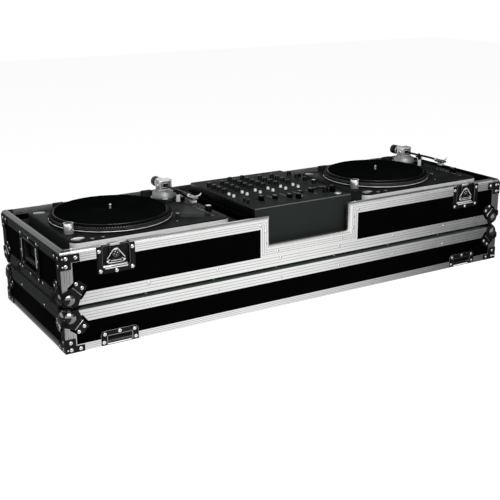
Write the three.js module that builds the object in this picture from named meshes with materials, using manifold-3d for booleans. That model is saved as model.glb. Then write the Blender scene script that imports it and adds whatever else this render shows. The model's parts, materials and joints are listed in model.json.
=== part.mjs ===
// A flight case for two turntables and a mixer, in two tiers: the open base stands on its own lid.
// Millimetres, +Z up. X runs along the case, Y to the back, and Z starts at the lid's rim on the ground.
import * as THREE from 'three';
import { mergeVertices } from 'three/addons/utils/BufferGeometryUtils.js';
import Module from 'manifold-3d';

const wasm = await Module();
wasm.setup();

// Driving dimensions of the case
const baseHeight = 145;
const lidHeight = 110;
const wallThickness = 9.5;
const seatGap = 0.3; // clearance between pieces that touch on the real case
const slideGap = 0.6; // clearance round what slides or turns in a hole

// Aluminium edge extrusions
const trimThickness = 1.6;
const edgeTrimLeg = 32;
const postLeg = 30;
const rimTrimLeg = 32;
const rimShoulder = 10;
const rimInnerLeg = 18;
const lidRimLeg = 20;
const lidRimInnerLeg = 12;

// Ball corners
const ballRadius = 24;
const ballProtrusion = 6.35;
const cornerCut = 20;

// Turntable: the platter sets the plinth, and the plinth sets the case
const platterRadius = 166;
const platterSideMargin = 13;
const platterFrontMargin = 14;
const platterBackMargin = 7;
const armPlatterGap = 51;
const armSideRoom = 57;
const armBackGap = 57;
const plinthHeight = 98;
const plinthRound = 24;
const matMargin = 15;

// Mixer
const mixerWidth = 330;
const mixerDepth = 380;
const mixerHeight = 108;
const mixerRise = 18;

// Room round the gear
const plinthLeftGap = 33.6;
const plinthRightGap = 54.5;
const gearFrontGap = 21.6;
const plinthBackGap = 74.6;
const mixerBackGap = 47.6;
const mixerSideGap = 11.5;
const dividerThickness = 9;
const dividerDrop = 6;
const notchInset = 30;
const plinthRise = 6.6;
const liningThickness = 10;
const foamTopDrop = 24;

// Places of the hardware
const latchEndGap = 146;
const latchHubDrop = 27;
const wheelRadius = 21.5;
const wheelWidth = 22;
const wheelFrontGap = 79;
const wheelBackGap = 119;
const wheelInset = 15.5;
const wheelRise = 9.5;

// Worked out from the driving dimensions
const spindleX = platterRadius + platterSideMargin;
const spindleY = platterRadius + platterFrontMargin;
const matRadius = platterRadius - matMargin;
const armX = spindleX + platterRadius + armPlatterGap;
const plinthWidth = armX + armSideRoom;
const plinthDepth = spindleY + platterRadius + platterBackMargin;
const armY = plinthDepth - armBackGap;
const panelInset = trimThickness + seatGap;
const innerFace = panelInset + wallThickness;
const tableRoom = plinthLeftGap + plinthWidth + plinthRightGap;
const dividerInner = mixerWidth / 2 + mixerSideGap;
const halfLength = dividerInner + dividerThickness + tableRoom + innerFace;
const gearRoom = gearFrontGap + Math.max(plinthDepth + plinthBackGap, mixerDepth + mixerBackGap);
const halfDepth = gearRoom / 2 + innerFace;
const caseLength = 2 * halfLength;
const caseDepth = 2 * halfDepth;
const tierGap = 2 * ballProtrusion + seatGap;
const baseBottom = lidHeight + tierGap;
const baseTop = baseBottom + baseHeight;
const wallTop = baseTop - rimShoulder - seatGap;
const notchHalf = mixerWidth / 2 - notchInset;
const sillTop = baseBottom + edgeTrimLeg + rimTrimLeg + seatGap;
const floorTop = baseBottom + innerFace;
const liningTop = floorTop + seatGap + liningThickness;
const plinthTop = baseTop + plinthRise;
const gearFront = -halfDepth + innerFace + gearFrontGap;
const latchOffset = halfLength - latchEndGap;
const overrun = 20; // how far a cutting block reaches past what it cuts

const axisX = new THREE.Vector3(1, 0, 0);
const axisY = new THREE.Vector3(0, 1, 0);
const axisZ = new THREE.Vector3(0, 0, 1);
const minusX = axisX.clone().negate();
const minusY = axisY.clone().negate();
const minusZ = axisZ.clone().negate();

// Turns a closed three.js geometry into a solid that can be cut and joined.
function solid(geometry) {
  const bare = geometry.clone();
  bare.deleteAttribute('normal');
  bare.deleteAttribute('uv');
  const merged = mergeVertices(bare, seatGap / 1000);
  const corners = [];
  const index = merged.index.array;
  for (let i = 0; i < index.length; i += 3) {
    const [a, b, c] = [index[i], index[i + 1], index[i + 2]];
    if (a !== b && b !== c && c !== a) corners.push(a, b, c);
  }
  return new wasm.Manifold(new wasm.Mesh({
    numProp: 3,
    vertProperties: merged.attributes.position.array,
    triVerts: new Uint32Array(corners),
  }));
}

function skin(shape) {
  const mesh = shape.getMesh();
  const geometry = new THREE.BufferGeometry();
  geometry.setAttribute('position', new THREE.BufferAttribute(mesh.vertProperties, mesh.numProp));
  geometry.setIndex(new THREE.BufferAttribute(mesh.triVerts, 1));
  geometry.computeVertexNormals();
  return geometry;
}

function join(shapes) {
  return shapes.reduce((sum, next) => sum.add(next));
}

function block([x0, y0, z0], [x1, y1, z1]) {
  const box = new THREE.BoxGeometry(x1 - x0, y1 - y0, z1 - z0);
  return solid(box.translate((x0 + x1) / 2, (y0 + y1) / 2, (z0 + z1) / 2));
}

// A cylinder or cone along an axis, from one end point.
function rod(axis, start, length, radius, sides, endRadius = radius) {
  const geometry = new THREE.CylinderGeometry(endRadius, radius, length, sides);
  geometry.translate(0, length / 2, 0);
  geometry.applyQuaternion(new THREE.Quaternion().setFromUnitVectors(axisY, axis));
  return solid(geometry.translate(...start));
}

// A flat outline given a thickness. The outline's own axes go along the two directions given.
function plate(outline, thickness, along, up, origin, curveSegments = 3) {
  const geometry = new THREE.ExtrudeGeometry(outline, { depth: thickness, bevelEnabled: false, curveSegments });
  const normal = new THREE.Vector3().crossVectors(along, up);
  geometry.applyMatrix4(new THREE.Matrix4().makeBasis(along, up, normal));
  return solid(geometry.translate(...origin));
}

// A rectangle with its own radius at each corner: bottom left, bottom right, top right, top left.
function roundedOutline(x0, y0, x1, y1, [bl, br, tr, tl]) {
  const outline = new THREE.Shape();
  outline.moveTo(x0 + bl, y0);
  outline.lineTo(x1 - br, y0);
  if (br > 0) outline.absarc(x1 - br, y0 + br, br, -Math.PI / 2, 0, false);
  outline.lineTo(x1, y1 - tr);
  if (tr > 0) outline.absarc(x1 - tr, y1 - tr, tr, 0, Math.PI / 2, false);
  outline.lineTo(x0 + tl, y1);
  if (tl > 0) outline.absarc(x0 + tl, y1 - tl, tl, Math.PI / 2, Math.PI, false);
  outline.lineTo(x0, y0 + bl);
  if (bl > 0) outline.absarc(x0 + bl, y0 + bl, bl, Math.PI, 1.5 * Math.PI, false);
  return outline;
}

// Sweeps a profile round a closed run of straight extrusions with mitred corners. The profile's x is the
// depth behind the outer face and its y the distance from the open edge.
function mitredLoop(outline, stations) {
  const opensDown = stations[0].opening[0].z < 0;
  const profile = opensDown ? outline.toReversed() : outline;
  const count = profile.length;
  const positions = [];
  for (const { at, outward, opening } of stations) {
    for (const { x, y } of profile) {
      const point = new THREE.Vector3(...at);
      for (const direction of outward) point.addScaledVector(direction, -x);
      for (const direction of opening) point.addScaledVector(direction, -y);
      positions.push(point.x, point.y, point.z);
    }
  }
  const index = [];
  stations.forEach((station, i) => {
    const here = i * count;
    const next = ((i + 1) % stations.length) * count;
    for (let j = 0; j < count; j++) {
      const k = (j + 1) % count;
      index.push(here + j, next + j, next + k, here + j, next + k, here + k);
    }
  });
  const geometry = new THREE.BufferGeometry();
  geometry.setAttribute('position', new THREE.Float32BufferAttribute(positions, 3));
  geometry.setIndex(index);
  return solid(geometry);
}

// The four corners of the case seen from above, each with its two outward directions and its turn.
const quarter = Math.PI / 2;
const corners = [
  { name: 'front_left', sx: -1, sy: -1, outward: [minusX, minusY], turn: 0 },
  { name: 'front_right', sx: 1, sy: -1, outward: [minusY, axisX], turn: 1 },
  { name: 'back_right', sx: 1, sy: 1, outward: [axisX, axisY], turn: 2 },
  { name: 'back_left', sx: -1, sy: 1, outward: [axisY, minusX], turn: 3 },
];
const faces = [
  { name: 'front_left', x: -latchOffset, y: -halfDepth, degrees: 0 },
  { name: 'front_right', x: latchOffset, y: -halfDepth, degrees: 0 },
  { name: 'back_left', x: -latchOffset, y: halfDepth, degrees: 180 },
  { name: 'back_right', x: latchOffset, y: halfDepth, degrees: 180 },
];
const ends = [
  { name: 'left', x: -halfLength, degrees: -90 },
  { name: 'right', x: halfLength, degrees: 90 },
];

function ringStations(z, opening) {
  return corners.map(({ sx, sy, outward }) => ({
    at: [sx * halfLength, sy * halfDepth, z], outward, opening: [opening],
  }));
}

// The region outside the plane that cuts a case corner off, as a tetrahedron on the corner.
function cornerWedge(cut) {
  const reach = cut + 2 * overrun;
  const points = [0, 0, 0, reach, 0, 0, 0, reach, 0, 0, 0, reach];
  const geometry = new THREE.BufferGeometry();
  geometry.setAttribute('position', new THREE.Float32BufferAttribute(points, 3));
  geometry.setIndex([0, 2, 1, 0, 3, 2, 0, 1, 3, 1, 2, 3]);
  const apexShift = (reach - cut) / 3;
  return solid(geometry.translate(-apexShift, -apexShift, -apexShift));
}

// Cuts the four corners of one tier, at its bottom for the base or its top for the lid.
function cutCorners(shape, z, flipped) {
  const wedge = flipped ? cornerWedge(cornerCut).rotate([180, 0, 0]) : cornerWedge(cornerCut);
  return corners.reduce((rest, { turn }) => {
    const turned = wedge.rotate([0, 0, turn * 90]);
    const spot = corners[flipped ? (turn + 3) % 4 : turn];
    return rest.subtract(turned.translate([spot.sx * halfLength, spot.sy * halfDepth, z]));
  }, shape);
}

const brightAluminium = new THREE.MeshStandardMaterial({ color: 0xc9cdcb, roughness: 0.35, metalness: 0.9 });
const blackLaminate = new THREE.MeshStandardMaterial({ color: 0x060606, roughness: 0.45, metalness: 0 });
const darkNickel = new THREE.MeshStandardMaterial({ color: 0x4b4e4e, roughness: 0.25, metalness: 1 });
const chrome = new THREE.MeshStandardMaterial({ color: 0xd0d2d2, roughness: 0.12, metalness: 1 });
const greyFoam = new THREE.MeshStandardMaterial({ color: 0x1b1d1d, roughness: 0.95, metalness: 0 });
const blackRubber = new THREE.MeshStandardMaterial({ color: 0x0b0b0b, roughness: 0.8, metalness: 0 });
const plinthPaint = new THREE.MeshStandardMaterial({ color: 0x2a2d2d, roughness: 0.4, metalness: 0.4 });
const recordBlack = new THREE.MeshStandardMaterial({ color: 0x0a0c0b, roughness: 0.5, metalness: 0.1 });
const silver = new THREE.MeshStandardMaterial({ color: 0xb9bcbb, roughness: 0.3, metalness: 0.9 });
const mixerPaint = new THREE.MeshStandardMaterial({ color: 0x1c1f1f, roughness: 0.5, metalness: 0.2 });
const knobBlack = new THREE.MeshStandardMaterial({ color: 0x080808, roughness: 0.55, metalness: 0 });

const group = new THREE.Group();

function addNode(name, shape, material, parent = group) {
  const mesh = new THREE.Mesh(skin(shape), material);
  mesh.name = name;
  parent.add(mesh);
  return mesh;
}

// Lid shell: a shallow box that opens down
const lidWallFoot = trimThickness + seatGap;
function lidShell() {
  const inset = panelInset;
  const inner = innerFace;
  const outerBox = block(
    [-halfLength + inset, -halfDepth + inset, lidWallFoot],
    [halfLength - inset, halfDepth - inset, lidHeight - inset],
  );
  const hollow = block(
    [-halfLength + inner, -halfDepth + inner, -overrun],
    [halfLength - inner, halfDepth - inner, lidHeight - inner],
  );
  return cutCorners(outerBox.subtract(hollow), lidHeight, true);
}

// Wheel wells: a closed box let into the tray's lower left edge for each wheel
const wheelHubRadius = 9.5;
const wheelHubProud = 1.2;
const wheelRoom = 2.5;
const axleRadius = 4;
const wellWall = 3;
const wellHalf = wheelWidth / 2 + wheelRoom;
const wheelX = -halfLength + wheelInset;
const wheelZ = baseBottom + wheelRise;
const wheels = [{ name: 'front', y: wheelFrontGap - halfDepth }, { name: 'back', y: halfDepth - wheelBackGap }];

function wellBox(y, spread) {
  const reach = wheelRadius + wheelRoom + spread;
  return block([-halfLength - overrun, y - wellHalf - spread, baseBottom - overrun],
    [wheelX + reach, y + wellHalf + spread, wheelZ + reach]);
}

function axle(y, radius) {
  return rod(axisY, [wheelX, y - wellHalf - wellWall / 2, wheelZ], 2 * wellHalf + wellWall, radius, 16);
}

function withWells(shell) {
  const outside = block([-halfLength + panelInset, -halfDepth, baseBottom + panelInset],
    [halfLength, halfDepth, wallTop]);
  const housings = wheels.map(({ y }) => wellBox(y, wellWall).intersect(outside));
  const hollow = wheels.reduce((rest, { y }) => rest.subtract(wellBox(y, 0)), join([shell, ...housings]));
  return join([hollow, ...wheels.map(({ y }) => axle(y, axleRadius))]);
}

function wheel() {
  const half = wheelWidth / 2;
  const bore = axleRadius + seatGap;
  const tread = wheelRadius / 6;
  const profile = [
    [bore, -half - wheelHubProud], [wheelHubRadius, -half - wheelHubProud], [wheelHubRadius, -half],
    [wheelRadius - tread, -half], [wheelRadius, -half + tread], [wheelRadius, half - tread],
    [wheelRadius - tread, half], [wheelHubRadius, half], [wheelHubRadius, half + wheelHubProud],
    [bore, half + wheelHubProud], [bore, -half - wheelHubProud],
  ].map(([x, y]) => new THREE.Vector2(x, y));
  return solid(new THREE.LatheGeometry(profile, 24));
}

// Base shell: a tray with two dividers and a notch for the mixer
const innerLegBack = innerFace + seatGap + trimThickness;
function baseShell() {
  const tray = block(
    [-halfLength + panelInset, -halfDepth + panelInset, baseBottom + panelInset],
    [halfLength - panelInset, halfDepth - panelInset, wallTop],
  ).subtract(block(
    [-halfLength + innerFace, -halfDepth + innerFace, floorTop],
    [halfLength - innerFace, halfDepth - innerFace, wallTop + overrun],
  ));
  const notchEdge = notchHalf + rimShoulder + seatGap;
  const notch = block(
    [-notchEdge, -halfDepth - overrun, sillTop - rimShoulder - seatGap],
    [notchEdge, -halfDepth + innerFace, wallTop + overrun],
  );
  const legBottom = baseTop - rimInnerLeg - seatGap;
  const dividers = [-1, 1].map((side) => {
    const x0 = side > 0 ? dividerInner : -dividerInner - dividerThickness;
    const x1 = x0 + dividerThickness;
    const low = block(
      [x0, -halfDepth + innerFace - seatGap, liningTop + seatGap],
      [x1, halfDepth - innerFace + seatGap, legBottom],
    );
    const high = block(
      [x0, -halfDepth + innerLegBack + seatGap, legBottom - seatGap],
      [x1, halfDepth - innerLegBack - seatGap, baseTop - dividerDrop],
    );
    return low.add(high);
  });
  return cutCorners(join([tray.subtract(notch), ...dividers]), baseBottom, false);
}

// Edge trim of one tier: a mitred ring of angle and four corner posts, cut off under the ball corners
const angleProfile = [
  [0, 0], [edgeTrimLeg, 0], [edgeTrimLeg, trimThickness],
  [trimThickness, trimThickness], [trimThickness, edgeTrimLeg], [0, edgeTrimLeg],
].map(([x, y]) => new THREE.Vector2(x, y));

function cornerPosts(z0, z1) {
  const angle = new THREE.Shape();
  angle.moveTo(0, 0);
  angle.lineTo(postLeg, 0);
  angle.lineTo(postLeg, trimThickness);
  angle.lineTo(trimThickness, trimThickness);
  angle.lineTo(trimThickness, postLeg);
  angle.lineTo(0, postLeg);
  const post = plate(angle, z1 - z0, axisX, axisY, [0, 0, z0]);
  return corners.map(({ sx, sy, turn }) => post
    .rotate([0, 0, turn * 90])
    .translate([sx * halfLength, sy * halfDepth, 0]));
}

// The trims stop in a V round the ball corner's tab, with a strip left under its skirt.
const stripWidth = 14;
const veeStart = 49.5;
const veeEnd = 63;
function cornerVees() {
  const outline = new THREE.Shape();
  outline.moveTo(stripWidth, stripWidth);
  outline.lineTo(veeStart, stripWidth);
  outline.lineTo(veeEnd, edgeTrimLeg);
  outline.lineTo(veeEnd, veeEnd);
  outline.lineTo(edgeTrimLeg, veeEnd);
  outline.lineTo(stripWidth, veeStart);
  const depth = panelInset;
  return join([
    plate(outline, depth + overrun, axisX, axisY, [0, 0, -overrun]),
    plate(outline, depth + overrun, axisY, axisZ, [-overrun, 0, 0]),
    plate(outline, depth + overrun, axisZ, axisX, [0, -overrun, 0]),
  ]);
}

function edgeTrim(edgeZ, opening, postStart, postEnd) {
  const flipped = opening === axisZ;
  const ring = mitredLoop(angleProfile, ringStations(edgeZ, opening));
  const bare = cutCorners(join([ring, ...cornerPosts(postStart, postEnd)]), edgeZ, flipped);
  const vees = flipped ? cornerVees().rotate([180, 0, 0]) : cornerVees();
  return corners.reduce((rest, { turn }) => {
    const spot = corners[flipped ? (turn + 3) % 4 : turn];
    return rest.subtract(vees.rotate([0, 0, turn * 90])
      .translate([spot.sx * halfLength, spot.sy * halfDepth, edgeZ]));
  }, bare);
}

// Rim trims: a channel that wraps the wall's edge, with rounded shoulders on the base
const channelBack = innerLegBack;
const shoulderSteps = 4;
function baseRimProfile() {
  const outline = new THREE.Path();
  outline.moveTo(trimThickness, rimTrimLeg);
  outline.lineTo(0, rimTrimLeg);
  outline.lineTo(0, rimShoulder);
  outline.absarc(rimShoulder, rimShoulder, rimShoulder, Math.PI, 1.5 * Math.PI, false);
  outline.lineTo(channelBack, 0);
  outline.lineTo(channelBack, rimInnerLeg);
  outline.lineTo(channelBack - trimThickness, rimInnerLeg);
  outline.lineTo(channelBack - trimThickness, trimThickness);
  outline.lineTo(rimShoulder, trimThickness);
  outline.absarc(rimShoulder, rimShoulder, rimShoulder - trimThickness, 1.5 * Math.PI, Math.PI, true);
  return withoutRepeats(outline.getPoints(shoulderSteps));
}

function withoutRepeats(points) {
  return points.filter((point, i) => point.distanceTo(points[(i + 1) % points.length]) > seatGap / 10);
}

const lidRimProfile = [
  [trimThickness, lidRimLeg], [0, lidRimLeg], [0, 0], [channelBack, 0], [channelBack, lidRimInnerLeg],
  [channelBack - trimThickness, lidRimInnerLeg], [channelBack - trimThickness, trimThickness],
  [trimThickness, trimThickness],
].map(([x, y]) => new THREE.Vector2(x, y));

function baseRimStations() {
  const front = (x, z, opening) => ({ at: [x, -halfDepth, z], outward: [minusY], opening });
  const [frontLeft, frontRight, backRight, backLeft] = ringStations(baseTop, axisZ);
  return [
    frontLeft,
    front(-notchHalf, baseTop, [axisZ, axisX]),
    front(-notchHalf, sillTop, [axisX, axisZ]),
    front(notchHalf, sillTop, [axisZ, minusX]),
    front(notchHalf, baseTop, [minusX, axisZ]),
    frontRight, backRight, backLeft,
  ];
}

// Corner braces: L plates riveted over the rim trim and the post, on both faces of each corner
const braceLength = 50;
const braceBand = 21;
const braceDrop = 49;
const braceWidth = 27;
const braceThickness = 1.2;
const braceRound = 3;
const lidBraceBand = 17;
const lidBraceDrop = 38;

// The brace's outline has its corner at the case's corner; y runs away from the rim.
function braceOutline(start, band, drop) {
  const outline = new THREE.Shape();
  const left = -braceThickness - seatGap;
  outline.moveTo(left, start);
  outline.lineTo(braceLength - braceRound, start);
  outline.quadraticCurveTo(braceLength, start, braceLength, start + braceRound);
  outline.lineTo(braceLength, start + band);
  outline.lineTo(braceWidth, start + band);
  outline.lineTo(braceWidth, drop - braceRound);
  outline.quadraticCurveTo(braceWidth, drop, braceWidth - braceRound, drop);
  outline.lineTo(left, drop);
  return outline;
}

// Both plates of a brace on the front left corner, standing on z = 0 with the rim at the bottom.
function braceOnCorner(start, band, drop) {
  const outline = braceOutline(start, band, drop);
  const onFront = plate(outline, braceThickness, axisX, axisZ, [0, -seatGap, 0]);
  const onEnd = plate(outline, braceThickness, axisY, axisZ, [-seatGap - braceThickness, 0, 0]);
  const weldDepth = seatGap + trimThickness / 4;
  const inset = start + trimThickness;
  const weldTop = start + band - trimThickness;
  const frontWeld = block([0, -seatGap - braceThickness / 2, inset],
    [braceLength - braceRound, weldDepth - seatGap, weldTop]);
  const endWeld = block([-seatGap - braceThickness / 2, 0, inset],
    [weldDepth - seatGap, braceLength - braceRound, weldTop]);
  return join([onFront, onEnd, frontWeld, endWeld]);
}

function bracesAt(rimZ, upsideDown, start, band, drop) {
  const brace = braceOnCorner(start, band, drop);
  return corners.map(({ turn }) => {
    const level = upsideDown ? brace.rotate([180, 0, 0]) : brace;
    const spot = corners[upsideDown ? (turn + 3) % 4 : turn];
    return level.rotate([0, 0, turn * 90]).translate([spot.sx * halfLength, spot.sy * halfDepth, rimZ]);
  });
}

// Twist latch, in its own frame: x along the wall, y inwards from the trims' outer face, z up from the hub
const latchWidth = 104;
const latchFoot = 49;
const latchTopDrop = 4;
const latchRound = 7;
const dishWidth = 76;
const dishFoot = 36;
const dishRound = 9;
const dishWall = 1.5;
const dishDepth = innerFace;
const latchHead = latchHubDrop - latchTopDrop;
const latchHubZ = baseTop - latchHubDrop;

const hubRadius = 11;
const hubFront = 0.6;
const hubThickness = 3.8;
const shaftRadius = 5;
const wingPinDrop = 13.2;
const wingPinDepth = 2.4;
const wingPinRadius = 0.8;
const wingThickness = 2.4;
const wingFoot = 25;
const wingFootHalf = 27;
const wingShoulderHalf = 15;
const wingRound = 7;
const lugHalf = 8;
const knuckleRadius = 1.5;
const pinSides = 8;

function latchFlangeOutline() {
  return roundedOutline(-latchWidth / 2, -latchFoot, latchWidth / 2, latchHead,
    [latchRound, latchRound, latchRound / 3, latchRound / 3]);
}

function latchRecessOutline(wall) {
  return roundedOutline(-dishWidth / 2 + wall, -dishFoot + wall, dishWidth / 2 - wall, latchHead + wall * overrun,
    [dishRound - wall, dishRound - wall, 0, 0]);
}

const hookFront = hubFront + hubThickness + slideGap;
const hookThickness = 2;
const hookHalf = 13;
const hookFootDrop = 20;
const hookTravel = 10;
const hookLipHeight = 3;
const railWidth = 2.4;
const railFootDrop = 24;
const dishFloor = dishDepth - dishWall;

function latchDish() {
  const flange = plate(latchFlangeOutline(), trimThickness, axisX, axisZ, [0, trimThickness, 0]);
  const bodyOutline = roundedOutline(-dishWidth / 2, -dishFoot, dishWidth / 2, latchHead,
    [dishRound, dishRound, 0, 0]);
  const body = plate(bodyOutline, dishDepth, axisX, axisZ, [0, dishDepth, 0]);
  const cavity = plate(latchRecessOutline(dishWall), dishFloor + overrun, axisX, axisZ, [0, dishFloor, 0]);
  const rails = [-1, 1].map((side) => {
    const near = side * (hookHalf + seatGap);
    const far = near + side * railWidth;
    return block([Math.min(near, far), hookFront, -railFootDrop],
      [Math.max(near, far), dishFloor + seatGap, latchHead]);
  });
  return join([flange.add(body).subtract(cavity), ...rails]);
}

function latchRotor() {
  const hub = rod(axisY, [0, hubFront, 0], hubThickness, hubRadius, 20);
  const shaft = rod(axisY, [0, hubFront, 0], dishFloor - seatGap - hubFront, shaftRadius, 12);
  const lug = block([-lugHalf, hubFront + seatGap, -wingPinDrop - knuckleRadius],
    [lugHalf, hubFront + hubThickness - seatGap, 0]);
  const pin = rod(axisX, [-wingShoulderHalf, wingPinDepth, -wingPinDrop], 2 * wingShoulderHalf,
    wingPinRadius, pinSides);
  return join([hub, shaft, lug, pin]);
}

function latchWing() {
  const top = -wingPinDrop;
  const outline = new THREE.Shape();
  outline.moveTo(-wingShoulderHalf, top);
  outline.lineTo(-wingFootHalf, -wingFoot + wingRound);
  outline.quadraticCurveTo(-wingFootHalf, -wingFoot, -wingFootHalf + wingRound, -wingFoot);
  outline.lineTo(wingFootHalf - wingRound, -wingFoot);
  outline.quadraticCurveTo(wingFootHalf, -wingFoot, wingFootHalf, -wingFoot + wingRound);
  outline.lineTo(wingShoulderHalf, top);
  const front = wingPinDepth - wingThickness / 2;
  const leaf = plate(outline, wingThickness, axisX, axisZ, [0, front + wingThickness, 0]);
  const slotHalf = lugHalf + seatGap;
  const slotFoot = top - knuckleRadius - 2 * seatGap;
  const slot = block([-slotHalf, -overrun, slotFoot - knuckleRadius], [slotHalf, overrun, overrun]);
  const knuckles = [-wingShoulderHalf, slotHalf].map((x) => (
    rod(axisX, [x, wingPinDepth, top], wingShoulderHalf - slotHalf, knuckleRadius, pinSides)));
  const bore = rod(axisX, [-latchWidth / 2, wingPinDepth, top], latchWidth, wingPinRadius + seatGap, pinSides);
  return join([leaf, ...knuckles]).subtract(slot).subtract(bore);
}

function latchHook() {
  const hookBack = hookFront + hookThickness;
  const bar = block([-hookHalf, hookFront, -hookFootDrop], [hookHalf, hookBack, latchHead]);
  const slotHalf = shaftRadius + slideGap;
  const slot = block([-slotHalf, -overrun, -slotHalf - hookTravel], [slotHalf, overrun, slotHalf]);
  const lip = block([-hookHalf, hookFront, latchHead - hookLipHeight],
    [hookHalf, dishFloor - 2 * seatGap, latchHead]);
  return bar.subtract(slot).add(lip);
}

// Lid catch, in its own frame: x along the wall, y inwards, z up from the lid's rim
const catchHeight = 40;
const catchRound = 12;
const catchRecessWidth = 68;
const catchRecessHeight = 25;
const strikeFoot = 7;
const strikeHeight = 4;
const strikeDepth = 3;
const strikeThickness = 2.5;

function catchDish() {
  const outline = roundedOutline(-latchWidth / 2, seatGap, latchWidth / 2, catchHeight,
    [0, 0, catchRound, catchRound]);
  const flange = plate(outline, trimThickness, axisX, axisZ, [0, trimThickness, 0], 4);
  const half = catchRecessWidth / 2;
  const body = block([-half - dishWall, 0, seatGap], [half + dishWall, dishDepth, catchRecessHeight + dishWall]);
  const cavity = block([-half, -overrun, -overrun], [half, dishFloor, catchRecessHeight]);
  const strike = block([-half - dishWall / 2, strikeDepth, strikeFoot],
    [half + dishWall / 2, strikeDepth + strikeThickness, strikeFoot + strikeHeight]);
  return flange.add(body).subtract(cavity).add(strike);
}

// Recessed spring handle, in its own frame: x along the end wall, y inwards, z up from the recess centre
const handleFlangeWidth = 152;
const handleFlangeUp = 52;
const handleFlangeDown = 58;
const handleRound = 9;
const handleRecessWidth = 111;
const handleRecessHeight = 73;
const handleRecessRound = 7;
const handleRecessDepth = 15;
const handleCentreDrop = 71.5;
const gripRadius = 7;
const gripDepth = 7.6;
const gripDrop = 20;
const pivotRise = 24;
const pivotRadius = 3;
const armThickness = 3;
const armWidth = 9;
const handleZ = baseTop - handleCentreDrop;

function handleRecessAt(spread, depth) {
  const outline = roundedOutline(-handleRecessWidth / 2 - spread, -handleRecessHeight / 2 - spread,
    handleRecessWidth / 2 + spread, handleRecessHeight / 2 + spread, Array(4).fill(handleRecessRound + spread));
  return plate(outline, depth + overrun, axisX, axisZ, [0, depth, 0]);
}

function handleDish() {
  const flangeOutline = roundedOutline(-handleFlangeWidth / 2, -handleFlangeDown, handleFlangeWidth / 2,
    handleFlangeUp, Array(4).fill(handleRound));
  const flange = plate(flangeOutline, trimThickness, axisX, axisZ, [0, -seatGap, 0]);
  const frontLimit = block([-caseDepth, -seatGap - trimThickness, -caseDepth], [caseDepth, caseDepth, caseDepth]);
  const body = handleRecessAt(dishWall, handleRecessDepth + dishWall).intersect(frontLimit);
  const hole = rod(axisX, [-handleFlangeWidth / 2, gripDepth, pivotRise], handleFlangeWidth,
    pivotRadius + seatGap, 16);
  return flange.add(body).subtract(handleRecessAt(0, handleRecessDepth)).subtract(hole);
}

function handleGrip() {
  const armX = handleRecessWidth / 2 - slideGap - armThickness;
  const reach = handleRecessWidth / 2 + dishWall - seatGap;
  const arms = [-1, 1].map((side) => {
    const inner = side * armX;
    const outer = side * (armX + armThickness);
    const arm = block([Math.min(inner, outer), gripDepth - armWidth / 2, -gripDrop],
      [Math.max(inner, outer), gripDepth + armWidth / 2, pivotRise + armWidth / 2]);
    return arm;
  });
  const stubs = [-1, 1].map((side) => (
    rod(side > 0 ? axisX : minusX, [side * armX, gripDepth, pivotRise], reach - armX, pivotRadius, 16)));
  const taper = gripRadius / 3;
  const profile = [
    [0, -armX - seatGap], [gripRadius - taper, -armX - seatGap], [gripRadius, -armX + 2 * taper],
    [gripRadius, armX - 2 * taper], [gripRadius - taper, armX + seatGap], [0, armX + seatGap],
  ].map(([x, y]) => new THREE.Vector2(x, y));
  const grip = new THREE.LatheGeometry(profile, 14);
  grip.rotateZ(quarter).translate(0, gripDepth, -gripDrop);
  return join([solid(grip), ...arms, ...stubs]);
}

// Ball corner, in the frame of a case corner: the three inward directions are x, y and z
const skirtThickness = 2;
const skirtReach = 39;
const skirtBow = 1.5;
const ridgeHalf = 17;
const ridgeAt = 54;
const ridgeThickness = 2.5;
const tabHalf = 15;
const tabEnd = 78;
const tabThickness = 2;
const tabRound = 5;
const cornerReach = 90;

// One face's skirt: a kite from the case corner to the ridge, and a tab down on the panel.
function ballSkirt() {
  const lift = seatGap + skirtThickness;
  const far = (ridgeAt + ridgeHalf) * Math.SQRT1_2;
  const near = (ridgeAt - ridgeHalf) * Math.SQRT1_2;
  const middle = (skirtReach + far) / 2;
  const kite = new THREE.Shape();
  kite.moveTo(-lift, -lift);
  kite.lineTo(-lift, skirtReach);
  kite.lineTo(0, skirtReach);
  kite.quadraticCurveTo(near / 2, middle - skirtBow, near, far);
  kite.lineTo(far, near);
  kite.quadraticCurveTo(middle - skirtBow, near / 2, skirtReach, 0);
  kite.lineTo(skirtReach, -lift);
  const raised = plate(kite, skirtThickness, axisZ, axisX, [0, -lift, 0], 2);
  const along = new THREE.Vector3(1, 0, -1).normalize();
  const outwards = new THREE.Vector3(1, 0, 1).normalize();
  const tabBack = panelInset - seatGap;
  const tabOutline = roundedOutline(-tabHalf, ridgeAt - ridgeThickness, tabHalf, tabEnd,
    [0, 0, tabRound, tabRound]);
  const tab = plate(tabOutline, tabThickness, along, outwards, [0, tabBack, 0], 2);
  const riserOutline = roundedOutline(-ridgeHalf, ridgeAt - ridgeThickness, ridgeHalf, ridgeAt, [0, 0, 0, 0]);
  const riser = plate(riserOutline, tabBack + lift, along, outwards, [0, tabBack, 0]);
  return join([raised, tab, riser]);
}

function cycled(shape, turns) {
  const basis = [[axisX, axisY, axisZ], [axisY, axisZ, axisX], [axisZ, axisX, axisY]][turns];
  return shape.transform(new THREE.Matrix4().makeBasis(...basis).elements);
}

function ballCorner() {
  const inset = ballRadius - ballProtrusion;
  const ball = solid(new THREE.SphereGeometry(ballRadius, 16, 10).translate(inset, inset, inset));
  const skirt = ballSkirt();
  const skirts = join([0, 1, 2].map((turns) => cycled(skirt, turns))).subtract(cornerWedge(cornerCut));
  const caseCorner = block([-seatGap, -seatGap, -seatGap], [cornerReach, cornerReach, cornerReach])
    .subtract(cornerWedge(cornerCut - seatGap * Math.sqrt(3)));
  return skirts.add(ball.subtract(caseCorner));
}

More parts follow.
